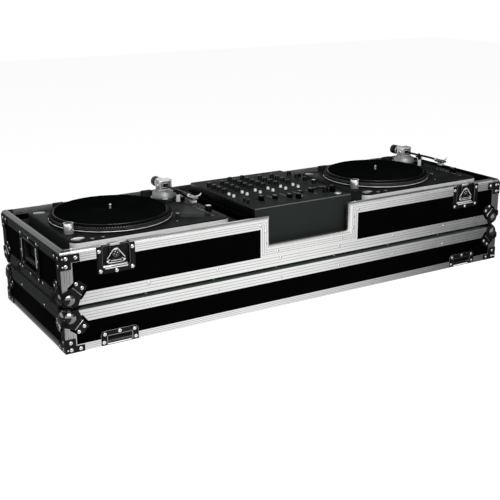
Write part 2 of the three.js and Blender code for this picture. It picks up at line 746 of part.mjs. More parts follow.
// Lid tier
const lidCatchCut = join(faces.map(({ x, y, degrees }) => {
  const half = latchWidth / 2 + seatGap;
  const bodyHalf = catchRecessWidth / 2 + dishWall + seatGap;
  const flangeCut = block([-half, -overrun, -overrun], [half, panelInset, catchHeight]);
  const bodyCut = block([-bodyHalf, -overrun, -overrun],
    [bodyHalf, dishDepth + seatGap / 2, catchRecessHeight + dishWall + seatGap]);
  return flangeCut.add(bodyCut).rotate([0, 0, degrees]).translate([x, y, 0]);
}));
const lidShellCut = join(faces.map(({ x, y, degrees }) => {
  const bodyHalf = catchRecessWidth / 2 + dishWall + seatGap;
  return block([-bodyHalf, -overrun, -overrun],
    [bodyHalf, innerFace + overrun, catchRecessHeight + dishWall + seatGap])
    .rotate([0, 0, degrees]).translate([x, y, 0]);
}));

addNode('lid_shell', lidShell().subtract(lidShellCut), blackLaminate);
const lidPostFoot = lidRimLeg + seatGap;
addNode('lid_edge_trim', edgeTrim(lidHeight, axisZ, lidPostFoot, lidHeight), brightAluminium);
const lidRim = mitredLoop(lidRimProfile, ringStations(0, minusZ));
const lidBraces = bracesAt(0, false, seatGap, lidBraceBand, lidBraceDrop);
addNode('lid_rim_trim', join([lidRim.subtract(lidCatchCut), ...lidBraces]), brightAluminium);

const lidFoamSheet = 8;
const lidFoamPad = 34;
const lidPadWidth = 60;
const lidPadSpacing = 150;
const lidPadWallGap = 86;
const lidPadEndGap = 268;
function lidFoam() {
  const ceiling = lidHeight - innerFace - seatGap;
  const inset = innerFace + seatGap + lidRimInnerLeg;
  const sheet = block([-halfLength + inset, -halfDepth + inset, ceiling - lidFoamSheet],
    [halfLength - inset, halfDepth - inset, ceiling]);
  const pads = [-1, 1].flatMap((side) => [-1, 1].map((step) => {
    const x = side * (halfLength - lidPadEndGap) + step * lidPadSpacing / 2;
    const reach = halfDepth - lidPadWallGap;
    return block([x - lidPadWidth / 2, -reach, ceiling - lidFoamPad], [x + lidPadWidth / 2, reach, ceiling]);
  }));
  return join([sheet, ...pads]);
}
addNode('lid_foam', lidFoam(), greyFoam);

corners.forEach(({ turn, sx, sy, name }) => {
  const mesh = addNode(`lid_ball_corner_${name}`, ballCorner(), darkNickel);
  mesh.rotation.set(Math.PI, 0, -((turn + 1) % 4) * quarter);
  mesh.position.set(sx * halfLength, sy * halfDepth, lidHeight);
});
faces.forEach(({ name, x, y, degrees }) => {
  const mesh = addNode(`lid_catch_${name}`, catchDish(), darkNickel);
  mesh.rotation.z = THREE.MathUtils.degToRad(degrees);
  mesh.position.set(x, y, 0);
});

// Base tier
const latchShellCut = join(faces.map(({ x, y, degrees }) => {
  const half = dishWidth / 2 + seatGap;
  return block([-half, -overrun, -dishFoot - seatGap], [half, innerFace + overrun, baseHeight])
    .rotate([0, 0, degrees]).translate([x, y, latchHubZ]);
}));
const latchRimCut = join(faces.map(({ x, y, degrees }) => {
  const half = dishWidth / 2 + seatGap;
  const flangeHalf = latchWidth / 2 + seatGap;
  const bodyCut = block([-half, -overrun, -dishFoot], [half, dishDepth + seatGap / 2, baseHeight]);
  const flangeCut = block([-flangeHalf, -overrun, -latchFoot], [flangeHalf, panelInset, latchHead + seatGap]);
  return bodyCut.add(flangeCut).rotate([0, 0, degrees]).translate([x, y, latchHubZ]);
}));
const handleCut = join(ends.map(({ x, degrees }) => (
  handleRecessAt(dishWall + seatGap, handleRecessDepth + dishWall + seatGap)
    .rotate([0, 0, degrees]).translate([x, 0, handleZ]))));

addNode('base_shell', withWells(baseShell().subtract(latchShellCut).subtract(handleCut)), blackLaminate);
const basePostHead = baseTop - rimTrimLeg - seatGap;
const wellTrimStrip = 4.5;
const wellTrimCut = join(wheels.map(({ y }) => wellBox(y, seatGap).intersect(block(
  [-caseLength, -halfDepth, 0],
  [0, halfDepth, baseBottom + edgeTrimLeg - wellTrimStrip],
))));
addNode('base_edge_trim', edgeTrim(baseBottom, minusZ, baseBottom, basePostHead).subtract(wellTrimCut),
  brightAluminium);
const baseRim = mitredLoop(baseRimProfile(), baseRimStations());
const baseBraces = bracesAt(baseTop, true, rimShoulder, braceBand, braceDrop);
addNode('base_rim_trim', join([baseRim.subtract(latchRimCut), ...baseBraces]), brightAluminium);

corners.forEach(({ turn, sx, sy, name }) => {
  const mesh = addNode(`base_ball_corner_${name}`, ballCorner(), darkNickel);
  mesh.rotation.z = turn * quarter;
  mesh.position.set(sx * halfLength, sy * halfDepth, baseBottom);
});
const latchPieces = { dish: latchDish, rotor: latchRotor, wing: latchWing, hook: latchHook };
for (const { name, x, y, degrees } of faces) {
  for (const [piece, make] of Object.entries(latchPieces)) {
    const mesh = addNode(`latch_${name}_${piece}`, make(), piece === 'dish' ? darkNickel : chrome);
    mesh.rotation.z = THREE.MathUtils.degToRad(degrees);
    mesh.position.set(x, y, latchHubZ);
  }
}
for (const { name, x, degrees } of ends) {
  for (const [piece, make, material] of [['dish', handleDish, darkNickel], ['grip', handleGrip, blackRubber]]) {
    const mesh = addNode(`handle_${name}_${piece}`, make(), material);
    mesh.rotation.z = THREE.MathUtils.degToRad(degrees);
    mesh.position.set(x, 0, handleZ);
  }
}

for (const { name, y } of wheels) {
  addNode(`wheel_${name}`, wheel(), blackRubber).position.set(wheelX, y, wheelZ);
}

// Foam lining: one floor sheet, a pocket round each turntable and a pad under the mixer
const pocketGap = 1.5;
const cableTrough = 34;
const troughFloor = 16;
const mixerBottom = baseTop + mixerRise - mixerHeight;
const turntables = [
  { name: 'left', near: -halfLength + innerFace, far: -dividerInner - dividerThickness },
  { name: 'right', near: dividerInner + dividerThickness, far: halfLength - innerFace },
].map((table) => ({ ...table, x: table.near + plinthLeftGap }));
function baseLining() {
  const clear = innerFace + seatGap;
  const backInside = halfDepth - clear;
  const sheet = block([-halfLength + clear, -backInside, floorTop + seatGap],
    [halfLength - clear, backInside, liningTop]);
  const foamTop = baseTop - foamTopDrop;
  const pockets = turntables.map(({ x, near, far }) => {
    const foam = block([near + seatGap, -backInside, liningTop - seatGap], [far - seatGap, backInside, foamTop]);
    const pocket = block([x - pocketGap, gearFront - pocketGap, liningTop],
      [x + plinthWidth + pocketGap, gearFront + plinthDepth + pocketGap, foamTop + overrun]);
    const trough = block([near + seatGap + overrun, backInside - cableTrough, liningTop + troughFloor],
      [far - seatGap - overrun, backInside + overrun, foamTop + overrun]);
    return foam.subtract(pocket).subtract(trough);
  });
  const pad = block([-mixerWidth / 2, gearFront, liningTop - seatGap],
    [mixerWidth / 2, gearFront + mixerDepth, mixerBottom - seatGap]);
  const wells = join(wheels.map(({ y }) => wellBox(y, wellWall + seatGap)));
  return join([sheet, ...pockets, pad]).subtract(handleCut).subtract(wells);
}
addNode('base_lining', baseLining(), greyFoam);

// Turntable, in its own frame: x and y from the plinth's front left corner, z up from the plinth's top
const plinthBevel = 3;
const footRadius = 22;
const footInset = 60;
const footHeight = plinthTop - liningTop - seatGap - plinthHeight;
const adaptorX = 28;
const adaptorY = plinthDepth - 25;
const adaptorRadius = 18;
const adaptorDepth = 5;
const startX = 25;
const startY = 24;
const startHalfX = 19;
const startHalfY = 13;
const startPocket = 5;
const startTravel = 1.2;
const startProud = 2.5;
const dialRadius = 13;
const dialPlatterGap = 1.8;
const dialBearing = THREE.MathUtils.degToRad(31.3);
const dialReach = platterRadius + dialPlatterGap + dialRadius;
const dialX = spindleX - dialReach * Math.cos(dialBearing);
const dialY = spindleY - dialReach * Math.sin(dialBearing);
const dialHeight = 28;
const dialStub = 4;
const armHeight = 39;
const armBaseRadius = 38;
const armBaseHeight = 20;
const armCollarRadius = 28;
const armCollarHeight = 23;
const armLength = 167;
const armTubeRadius = 3.6;
const headshellLength = 32;
const headshellHalf = 9;
const headshellHeight = 6;
const cartridgeHalf = 7;
const cartridgeHeight = 9;
const cartridgeStart = 9;
const cartridgeEnd = 26;
const fingerLift = 16;
const fingerWidth = 4;
const fingerThickness = 2;
const weightRadius = 15;
const weightLength = 30;
const weightStart = 27;
const housingHalfX = 20;
const housingHalfY = 13;
const housingTop = 55;
const restPostGap = 66;
const restPostShift = 13;
const restPostRadius = 5;
const pitchSideGap = 19;
const pitchX = plinthWidth - pitchSideGap;
const pitchStart = 40;
const pitchEnd = 160;
const pitchSlotHalf = 2.5;
const pitchSlotDepth = 7;
const pitchKnobY = 94;
const pitchKnobHalfX = 8;
const pitchKnobHalfY = 8;
const pitchKnobHeight = 15;
const lightPlatterGap = 10;
const lightReach = platterRadius + lightPlatterGap + 6;
const lightBearing = THREE.MathUtils.degToRad(31.8);
const lightX = spindleX + lightReach * Math.cos(lightBearing);
const lightY = spindleY - lightReach * Math.sin(lightBearing);
const lightRadius = 6;
const lightHeight = 9;
const lidHingeX = 91;
const lidHingeHalf = 15;
const lidHingeDepth = 18;
const lidHingeRise = 15;
const lidHingeRoot = 12;

function plinth() {
  const outline = roundedOutline(plinthBevel, plinthBevel, plinthWidth - plinthBevel, plinthDepth - plinthBevel,
    Array(4).fill(plinthRound - plinthBevel));
  const body = new THREE.ExtrudeGeometry(outline, {
    depth: plinthHeight - 2 * plinthBevel,
    bevelThickness: plinthBevel,
    bevelSize: plinthBevel,
    bevelSegments: 1,
    curveSegments: 4,
  });
  const feet = [footInset, plinthWidth - footInset].flatMap((x) => [footInset, plinthDepth - footInset].map((y) => (
    rod(axisZ, [x, y, -plinthHeight - footHeight], footHeight + plinthBevel, footRadius, 12))));
  const hinges = [lidHingeX, plinthWidth - lidHingeX].map((x) => (
    block([x - lidHingeHalf, plinthDepth - lidHingeDepth, -lidHingeRoot],
      [x + lidHingeHalf, plinthDepth, lidHingeRise])));
  const restPost = rod(axisZ, [armX + restPostShift, armY - restPostGap, -plinthBevel],
    armHeight - armTubeRadius - seatGap + plinthBevel, restPostRadius, 12);
  const light = rod(axisZ, [lightX, lightY, -plinthBevel], lightHeight + plinthBevel, lightRadius, 12);
  const cuts = [
    rod(axisZ, [adaptorX, adaptorY, -adaptorDepth], adaptorDepth + overrun, adaptorRadius, 16),
    rod(axisZ, [dialX, dialY, -dialStub - seatGap], dialStub + overrun, dialRadius / 2 + seatGap, 16),
    rod(axisZ, [spindleX, spindleY, -hubRecess], hubRecess + overrun, platterHubRadius + slideGap, 20),
    plate(startOutline(seatGap), startPocket + overrun, axisX, axisY, [startX, startY, -startPocket], 5),
    block([pitchX - pitchSlotHalf, pitchStart, -pitchSlotDepth], [pitchX + pitchSlotHalf, pitchEnd, overrun]),
  ];
  const solidBody = solid(body.translate(0, 0, -plinthHeight + plinthBevel));
  return cuts.reduce((rest, cut) => rest.subtract(cut), join([solidBody, ...feet, ...hinges, restPost, light]));
}

function startOutline(spread) {
  const outline = new THREE.Shape();
  outline.absellipse(0, 0, startHalfX + spread, startHalfY + spread, 0, 2 * Math.PI, false);
  return outline;
}

const hubRecess = 6;
const platterHubRadius = 30;
const platterGap = 1.2;
const platterRim = 12;
const platterTop = 20;
const matThickness = 4;
const spindleRadius = 3.6;
const spindleHeight = 38;
const rimTaper = 4;

function platter() {
  const matTop = platterTop + matThickness;
  const profile = [
    [0, seatGap - hubRecess], [platterHubRadius, seatGap - hubRecess], [platterHubRadius, platterGap],
    [platterRadius - rimTaper, platterGap], [platterRadius, platterGap + rimTaper], [platterRadius, platterRim],
    [platterRadius - rimTaper, platterTop], [matRadius, platterTop], [matRadius, matTop],
    [spindleRadius, matTop], [spindleRadius, spindleHeight - spindleRadius], [0, spindleHeight],
  ].map(([x, y]) => new THREE.Vector2(x, y));
  const turned = new THREE.LatheGeometry(profile, 32);
  return solid(turned.rotateX(quarter).translate(spindleX, spindleY, 0));
}

function tonearmBase() {
  const ring = rod(axisZ, [0, 0, seatGap], armBaseHeight, armBaseRadius, 24, armBaseRadius - armBaseHeight / 4);
  const collar = rod(axisZ, [0, 0, seatGap], armCollarHeight - seatGap, armCollarRadius, 20);
  return ring.add(collar);
}

function tonearm() {
  const housing = block([-housingHalfX, -housingHalfY, armCollarHeight + seatGap],
    [housingHalfX, housingHalfY, housingTop]);
  const tubeEnd = -armLength;
  const route = new THREE.CatmullRomCurve3([
    [0, weightStart, armHeight], [0, 0, armHeight], [0, tubeEnd / 3, armHeight],
    [headshellHalf / 2, tubeEnd * 0.7, armHeight], [0, tubeEnd, armHeight],
  ].map((point) => new THREE.Vector3(...point)));
  const section = new THREE.Shape().absellipse(0, 0, armTubeRadius, armTubeRadius, 0, 2 * Math.PI);
  const tube = new THREE.ExtrudeGeometry(section, { steps: 14, extrudePath: route, curveSegments: 5 });
  const weight = rod(axisY, [0, weightStart, armHeight], weightLength, weightRadius, 16);
  const shellTop = armHeight + armTubeRadius / 2;
  const shell = block([-headshellHalf, tubeEnd - headshellLength, shellTop - headshellHeight],
    [headshellHalf, tubeEnd + armTubeRadius, shellTop]);
  const finger = block([headshellHalf - seatGap, tubeEnd - headshellLength / 2, shellTop - fingerThickness],
    [headshellHalf + fingerLift, tubeEnd - headshellLength / 2 + fingerWidth, shellTop]);
  const cartridge = block(
    [-cartridgeHalf, tubeEnd - cartridgeEnd, shellTop - headshellHeight - cartridgeHeight],
    [cartridgeHalf, tubeEnd - cartridgeStart, shellTop - seatGap],
  );
  return join([housing, solid(tube), weight, shell, finger, cartridge]);
}

function startButton() {
  const bottom = -startPocket + startTravel + seatGap;
  return plate(startOutline(0), startProud - bottom, axisX, axisY, [0, 0, bottom], 5);
}

function powerDial() {
  const pillar = rod(axisZ, [0, 0, seatGap], dialHeight - seatGap, dialRadius, 24, dialRadius - seatGap);
  return pillar.add(rod(axisZ, [0, 0, -dialStub], dialStub + 2 * seatGap, dialRadius / 2, 16));
}

function slider(halfX, halfY, height, slotHalf, slotDepth) {
  const outline = roundedOutline(-halfX, -halfY, halfX, halfY, Array(4).fill(Math.min(halfX, halfY) / 3));
  const cap = plate(outline, height, axisX, axisY, [0, 0, seatGap], 2);
  const stemHalf = slotHalf - seatGap;
  const stem = block([-stemHalf, -stemHalf, seatGap - slotDepth], [stemHalf, stemHalf, 2 * seatGap]);
  return cap.add(stem);
}

for (const { name, x } of turntables) {
  const table = new THREE.Group();
  table.position.set(x, gearFront, plinthTop);
  group.add(table);
  addNode(`turntable_${name}_plinth`, plinth(), plinthPaint, table);
  addNode(`turntable_${name}_platter`, platter(), recordBlack, table);
  addNode(`turntable_${name}_arm_base`, tonearmBase(), silver, table).position.set(armX, armY, 0);
  addNode(`turntable_${name}_tonearm`, tonearm(), silver, table).position.set(armX, armY, 0);
  addNode(`turntable_${name}_start_button`, startButton(), silver, table).position.set(startX, startY, 0);
  addNode(`turntable_${name}_power_dial`, powerDial(), silver, table).position.set(dialX, dialY, 0);
  const knob = slider(pitchKnobHalfX, pitchKnobHalfY, pitchKnobHeight, pitchSlotHalf, pitchSlotDepth);
  addNode(`turntable_${name}_pitch_slider`, knob, knobBlack, table).position.set(pitchX, pitchKnobY, 0);
}

// Mixer, in its own frame: x from its middle, y from its front, z up from its panel
const mixerBevel = 2;
const knobSideStrip = 53;
const knobColumns = 6;
const knobColumnSpacing = (mixerWidth - 2 * knobSideStrip) / (knobColumns - 1);
const knobColumnShift = -32;
const smallKnobRows = 2;
const smallKnobY = 151;
const smallKnobSpacing = 28;
const smallKnobRadius = 5;
const smallKnobHeight = 7;
const tallKnobRows = [4, 4, 5, 5, 4, 4];
const tallKnobY = 206;
const tallKnobSpacing = 31;
const tallKnobRadius = 8;
const tallKnobHeight = 13;
const micKnobGap = 16;
const micKnobX = micKnobGap - mixerWidth / 2;
const micKnobY = 60;
const micKnobSpacing = 22;
const sideKnobGap = 19;
const sideKnobX = mixerWidth / 2 - sideKnobGap;
const sideKnobRows = 4;
const sideKnobY = 164;
const sideKnobSpacing = 46;
const faderSlotHalf = 1.8;
const faderSlotDepth = 6;
const faderStart = 50;
const faderEnd = 114;
const faderKnobY = 72;
const faderCapHalfX = 5.5;
const faderCapHalfY = 9;
const faderCapHeight = 14;
const faderChannel = 1;
const crossHalf = 32;
const crossY = 38;
const crossKnobX = 6;
const cueKnobShift = 9;
const cueKnobX = sideKnobX - cueKnobShift;
const cueKnobY = 54;
const boothKnobGap = 26;
const cueKnobRadius = 10;
const cueKnobHeight = 18;
const cueStub = 5;
const knobSides = 8;
const mixerTop = baseTop + mixerRise;

const columnX = (column) => knobColumnShift + (column - (knobColumns - 1) / 2) * knobColumnSpacing;
const faderX = columnX(faderChannel);

function mixerChassis() {
  const half = mixerWidth / 2 - mixerBevel;
  const outline = roundedOutline(-half, mixerBevel, half, mixerDepth - mixerBevel, Array(4).fill(0));
  const body = new THREE.ExtrudeGeometry(outline, {
    depth: mixerHeight - 2 * mixerBevel, bevelThickness: mixerBevel, bevelSize: mixerBevel, bevelSegments: 1,
  });
  const knobs = [];
  const addKnob = (x, y, radius, height) => knobs.push(
    rod(axisZ, [x, y, -mixerBevel], height + mixerBevel, radius, knobSides, radius * knobTaperShare));
  for (let column = 0; column < knobColumns; column++) {
    for (let row = 0; row < smallKnobRows; row++) {
      addKnob(columnX(column), smallKnobY + row * smallKnobSpacing, smallKnobRadius, smallKnobHeight);
    }
    for (let row = 0; row < tallKnobRows[column]; row++) {
      addKnob(columnX(column), tallKnobY + row * tallKnobSpacing, tallKnobRadius, tallKnobHeight);
    }
  }
  for (let row = 0; row < sideKnobRows; row++) {
    addKnob(sideKnobX, sideKnobY + row * sideKnobSpacing, tallKnobRadius, tallKnobHeight);
  }
  addKnob(cueKnobX - boothKnobGap, cueKnobY, cueKnobRadius, cueKnobHeight);
  for (const y of [micKnobY, micKnobY + micKnobSpacing]) {
    addKnob(micKnobX, y, smallKnobRadius, tallKnobHeight);
  }
  const faderSlot = block(
    [faderX - faderSlotHalf, faderStart, -faderSlotDepth],
    [faderX + faderSlotHalf, faderEnd, overrun],
  );
  const crossSlot = block([-crossHalf, crossY - faderSlotHalf, -faderSlotDepth],
    [crossHalf, crossY + faderSlotHalf, overrun]);
  const cueBore = rod(axisZ, [cueKnobX, cueKnobY, -cueStub - seatGap], cueStub + overrun,
    cueKnobRadius / 3 + seatGap, 12);
  const solidBody = solid(body.translate(0, 0, -mixerHeight + mixerBevel));
  return [faderSlot, crossSlot, cueBore].reduce((rest, cut) => rest.subtract(cut), join([solidBody, ...knobs]));
}
const knobTaperShare = 0.82;

function cueKnob() {
  const cap = rod(axisZ, [0, 0, seatGap], cueKnobHeight, cueKnobRadius, 16, cueKnobRadius * knobTaperShare);
  return cap.add(rod(axisZ, [0, 0, -cueStub], cueStub + 2 * seatGap, cueKnobRadius / 3, 12));
}

const mixer = new THREE.Group();
mixer.position.set(0, gearFront, mixerTop);
group.add(mixer);
addNode('mixer_chassis', mixerChassis(), mixerPaint, mixer);
const faderCap = slider(faderCapHalfX, faderCapHalfY, faderCapHeight, faderSlotHalf, faderSlotDepth);
addNode('mixer_channel_fader', faderCap, knobBlack, mixer).position.set(faderX, faderKnobY, 0);
addNode('mixer_crossfader', faderCap, knobBlack, mixer).position.set(crossKnobX, crossY, 0);
addNode('mixer_cue_knob', cueKnob(), knobBlack, mixer).position.set(cueKnobX, cueKnobY, 0);

export default group;
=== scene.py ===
import json
import math
import bpy
from mathutils import Matrix, Vector


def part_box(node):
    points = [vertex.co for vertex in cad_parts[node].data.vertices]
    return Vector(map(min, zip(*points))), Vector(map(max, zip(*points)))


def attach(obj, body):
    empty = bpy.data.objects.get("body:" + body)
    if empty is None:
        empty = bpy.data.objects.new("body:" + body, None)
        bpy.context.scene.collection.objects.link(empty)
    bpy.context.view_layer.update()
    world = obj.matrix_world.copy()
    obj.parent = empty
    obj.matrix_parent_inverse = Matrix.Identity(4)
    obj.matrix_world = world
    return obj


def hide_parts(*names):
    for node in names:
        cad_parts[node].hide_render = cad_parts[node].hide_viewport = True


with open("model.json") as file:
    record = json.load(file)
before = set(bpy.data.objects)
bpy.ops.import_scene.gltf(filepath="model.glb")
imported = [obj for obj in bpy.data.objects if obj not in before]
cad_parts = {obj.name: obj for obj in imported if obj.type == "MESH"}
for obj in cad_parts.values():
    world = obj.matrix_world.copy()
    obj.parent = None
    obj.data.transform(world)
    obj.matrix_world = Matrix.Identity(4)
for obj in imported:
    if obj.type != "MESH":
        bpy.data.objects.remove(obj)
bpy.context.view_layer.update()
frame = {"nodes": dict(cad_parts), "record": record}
mm = 0.001
nodes = frame["nodes"]
bodyOf = {node: body for body, members in frame["record"]["behaviour"]["bodies"].items() for node in members}

# places taken from the frame
caseLow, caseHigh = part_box("base_edge_trim")
halfLength, halfDepth, baseBottom = caseHigh.x, caseHigh.y, caseLow.z
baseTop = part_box("base_rim_trim")[1].z
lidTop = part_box("lid_edge_trim")[1].z
level = {"bottom": baseBottom / mm, "rim": baseTop / mm, "lid": lidTop / mm}  # in millimetres
longFaces, shortFaces = ("front", "back"), ("right", "left")
length, depth = halfLength / mm, halfDepth / mm
# each wall's turn in degrees, its distance out and half its length
walls = {"front": (0, depth, length), "back": (180, depth, length), "right": (90, length, depth),
         "left": (-90, length, depth)}


# helpers for modelling by hand, with sizes in millimetres
def activate(piece):
    bpy.ops.object.select_all(action="DESELECT")
    piece.select_set(True)
    bpy.context.view_layer.objects.active = piece


def selectAll():
    bpy.ops.mesh.select_all(action="SELECT")


def editAll(piece):
    activate(piece)
    bpy.ops.object.mode_set(mode="EDIT")
    bpy.ops.mesh.select_mode(type="FACE")
    selectAll()


def editFaces(piece, test):  # enters edit mode with the faces selected that pass the test
    editAll(piece)
    bpy.ops.mesh.select_all(action="DESELECT")
    bpy.ops.object.mode_set(mode="OBJECT")
    for face in piece.data.polygons:
        face.select = test(face.center, face.normal)
    bpy.ops.object.mode_set(mode="EDIT")


def pressIn(thickness, move=(0, 0, 0)):  # insets the selected faces and moves them
    bpy.ops.mesh.inset(thickness=thickness * mm)
    bpy.ops.transform.translate(value=[value * mm for value in move])


def doneEditing():
    bpy.ops.object.mode_set(mode="OBJECT")


def smoothByAngle(piece, angle=35):
    activate(piece)
    bpy.ops.object.shade_smooth_by_angle(angle=math.radians(angle))


def roundEdges(piece, width, segments=2, angle=30, smooth=35, edgeSlot=-1):
    activate(piece)
    bevel = piece.modifiers.new("Bevel", "BEVEL")
    bevel.width, bevel.segments, bevel.material = width * mm, segments, edgeSlot
    bevel.limit_method, bevel.angle_limit = "ANGLE", math.radians(angle)
    bpy.ops.object.modifier_apply(modifier=bevel.name)
    if smooth:
        smoothByAngle(piece, smooth)


def named(name, material):  # names the piece that was just added and puts its place in its mesh
    piece = bpy.context.object
    piece.name = piece.data.name = name
    bpy.ops.object.transform_apply(location=True, rotation=True, scale=True)
    piece.data.materials.append(material)
    return piece


def slab(name, low, high, material, round_=0.0, segments=2):  # a block, sharp unless rounded
    middle = [(a + b) / 2 * mm for a, b in zip(low, high)]
    size = [(b - a) * mm for a, b in zip(low, high)]
    bpy.ops.mesh.primitive_cube_add(size=1, location=middle, scale=size)
    piece = named(name, material)
    if round_:
        roundEdges(piece, round_, segments)
    return piece


def rod(name, start, end, radius, material, sides=24, endRadius=None):  # left sharp
    a, b = (Vector([value * mm for value in point]) for point in (start, end))
    turn = (b - a).to_track_quat("Z", "Y").to_euler()
    bpy.ops.mesh.primitive_cone_add(vertices=sides, radius1=radius * mm, radius2=(endRadius or radius) * mm,
                                    depth=(b - a).length, location=(a + b) / 2, rotation=turn)
    return named(name, material)


def pin(name, start, end, radius, material, sides=20, endRadius=None, round_=0.3):  # a rod with rounded ends
    piece = rod(name, start, end, radius, material, sides, endRadius)
    roundEdges(piece, round_, 2, 50)
    return piece


def ringBead(name, centre, radius, thickness, material, around=96):  # a round wire bent into a level ring
    x, y, z = [value * mm for value in centre]
    bpy.ops.mesh.primitive_circle_add(vertices=8, radius=thickness * mm, location=(x + radius * mm, y, z),
                                      rotation=(math.radians(90), 0, 0))
    piece = named(name, material)
    activate(piece)
    bpy.ops.object.mode_set(mode="EDIT")
    selectAll()
    bpy.ops.mesh.spin(steps=around, angle=2 * math.pi, center=(x, y, z), axis=(0, 0, 1))
    selectAll()
    bpy.ops.mesh.remove_doubles(threshold=0.01 * mm)
    bpy.ops.mesh.normals_make_consistent(inside=False)
    doneEditing()
    smoothByAngle(piece, 60)
    return piece


def joined(pieces, name):
    activate(pieces[0])
    for piece in pieces:
        piece.select_set(True)
    bpy.ops.object.join()
    pieces[0].name = pieces[0].data.name = name
    return pieces[0]


def copied(piece, name, matrix):
    twin = bpy.data.objects.new(name, piece.data.copy())
    twin.data.transform(matrix)
    bpy.context.scene.collection.objects.link(twin)
    return twin


def mounted(piece, body):
    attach(piece, body)


def settled(pieces, name, body, matrix):  # joins pieces made about one corner and sets them down
    piece = joined(pieces, name)
    piece.data.transform(matrix)
    mounted(piece, body)


def placedCopies(piece, places):  # places: (name, body, matrix)
    for name, body, matrix in places:
        mounted(copied(piece, name, matrix), body)
    bpy.data.objects.remove(piece)


def addFinishes(piece, *materials):
    for material in materials:
        piece.data.materials.append(material)


def camel(words):
    first, *rest = words.split("_")
    return first + "".join(word.title() for word in rest)


def softCopy(node, material, bevel=0.8, segments=2, angle=30, smooth=35, work=None, edge=None):
    piece = bpy.data.objects.new(camel(node), nodes[node].data.copy())
    bpy.context.scene.collection.objects.link(piece)
    piece.data.materials.clear()
    piece.data.materials.append(material)
    activate(piece)
    bpy.ops.mesh.customdata_custom_splitnormals_clear()
    editAll(piece)
    bpy.ops.mesh.remove_doubles(threshold=0.02 * mm)
    bpy.ops.mesh.dissolve_limited(angle_limit=math.radians(1))
    doneEditing()
    if work:
        work(piece)
    if edge and len(piece.data.materials) < 2:
        piece.data.materials.append(edge)
    roundEdges(piece, bevel, segments, angle, smooth, 1 if edge else -1)
    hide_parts(node)
    mounted(piece, bodyOf[node])


def spun(degrees, axis):
    return Matrix.Rotation(math.radians(degrees), 4, axis)


def wallFrame(face, along, z, out=0.0):  # a wall's own frame: x along it, y inwards, z up
    turn, distance, _ = walls[face]
    return spun(turn, "Z") @ Matrix.Translation((along * mm, (-distance - out) * mm, z * mm))


# materials
def addNode(tree, kind, inputs=None, **settings):
    node = tree.nodes.new("ShaderNode" + kind)
    for name, value in settings.items():
        setattr(node, name, value)
    for key, value in (inputs or {}).items():
        if isinstance(value, bpy.types.NodeSocket):
            tree.links.new(value, node.inputs[key])
        else:
            node.inputs[key].default_value = value
    return node


def maths(tree, operation, *values):
    return addNode(tree, "Math", dict(enumerate(values)), operation=operation).outputs[0]


def times(tree, a, b):
    return maths(tree, "MULTIPLY", a, b)


def beyond(tree, value, limit):  # 1 where the value lies further from 0 than the limit
    return maths(tree, "GREATER_THAN", maths(tree, "ABSOLUTE", value), limit)


def ramp(tree, value, fromLow, fromHigh, low=0.0, high=1.0, kind="LINEAR"):
    limits = {"Value": value, "From Min": fromLow, "From Max": fromHigh, "To Min": low, "To Max": high}
    return addNode(tree, "MapRange", limits, interpolation_type=kind).outputs["Result"]


def noise(tree, vector, scale, detail, roughness=0.5):
    return addNode(tree, "TexNoise", {"Vector": vector, "Scale": scale, "Detail": detail,
                                      "Roughness": roughness}).outputs["Fac"]


def mapped(tree, vector, **settings):
    return addNode(tree, "Mapping", {"Vector": vector, **settings}).outputs[0]


def blended(tree, share, first, second):
    return addNode(tree, "Mix", {"Factor": share, 6: first, 7: second}, data_type="RGBA").outputs[2]


def axes(tree, vector):
    return addNode(tree, "SeparateXYZ", {0: vector}).outputs


def useGroup(tree, group, **inputs):
    return addNode(tree, "Group", inputs, node_tree=group).outputs


def grey(shade, tint=(1, 1, 1)):
    return (shade * tint[0], shade * tint[1], shade * tint[2], 1)


def startGroup(name, inputs, outputs):
    group = bpy.data.node_groups.new(name, "ShaderNodeTree")
    kinds = {"Position": "Vector", "Colour": "Color", "Dust": "Color"}
    for way, labels in (("INPUT", inputs), ("OUTPUT", outputs)):
        for label in labels.split():
            group.interface.new_socket(name=label, in_out=way,
                                       socket_type="NodeSocket" + kinds.get(label, "Float"))
    return group, group.nodes.new("NodeGroupInput").outputs, group.nodes.new("NodeGroupOutput").inputs


def makeGrainGroup():  # fine noise for paint, board and rubber
    group, given, out = startGroup("fineGrain", "Position Fineness Low High", "Height Roughness")
    fine = noise(group, given["Position"], given["Fineness"], 3.0)
    broad = noise(group, given["Position"], 9.0, 4.0)
    both = maths(group, "ADD", times(group, fine, 0.45), times(group, broad, 0.55))
    group.links.new(fine, out["Height"])
    group.links.new(ramp(group, both, 0.35, 0.65, given["Low"], given["High"]), out["Roughness"])
    return group


def makeWearGroup():  # dust in patches and short pale scuffs
    group, given, out = startGroup("handlingMarks", "Position Colour Dust Amount", "Colour")
    patches = noise(group, given["Position"], 14.0, 6.0, 0.65)
    stretched = mapped(group, given["Position"], Rotation=(0.3, 0.2, 0.5), Scale=(18, 260, 260))
    scuffs = noise(group, stretched, 1.0, 2.0)
    marked = maths(group, "MAXIMUM", ramp(group, patches, 0.42, 0.72), ramp(group, scuffs, 0.7, 0.78))
    share = times(group, given["Amount"], marked)
    group.links.new(blended(group, share, given["Colour"], given["Dust"]), out["Colour"])
    return group


drawn = {"postInset": 29.8 * mm, "endInset": 13.5 * mm, "rimInset": 2.5 * mm, "across": 900, "along": 3}


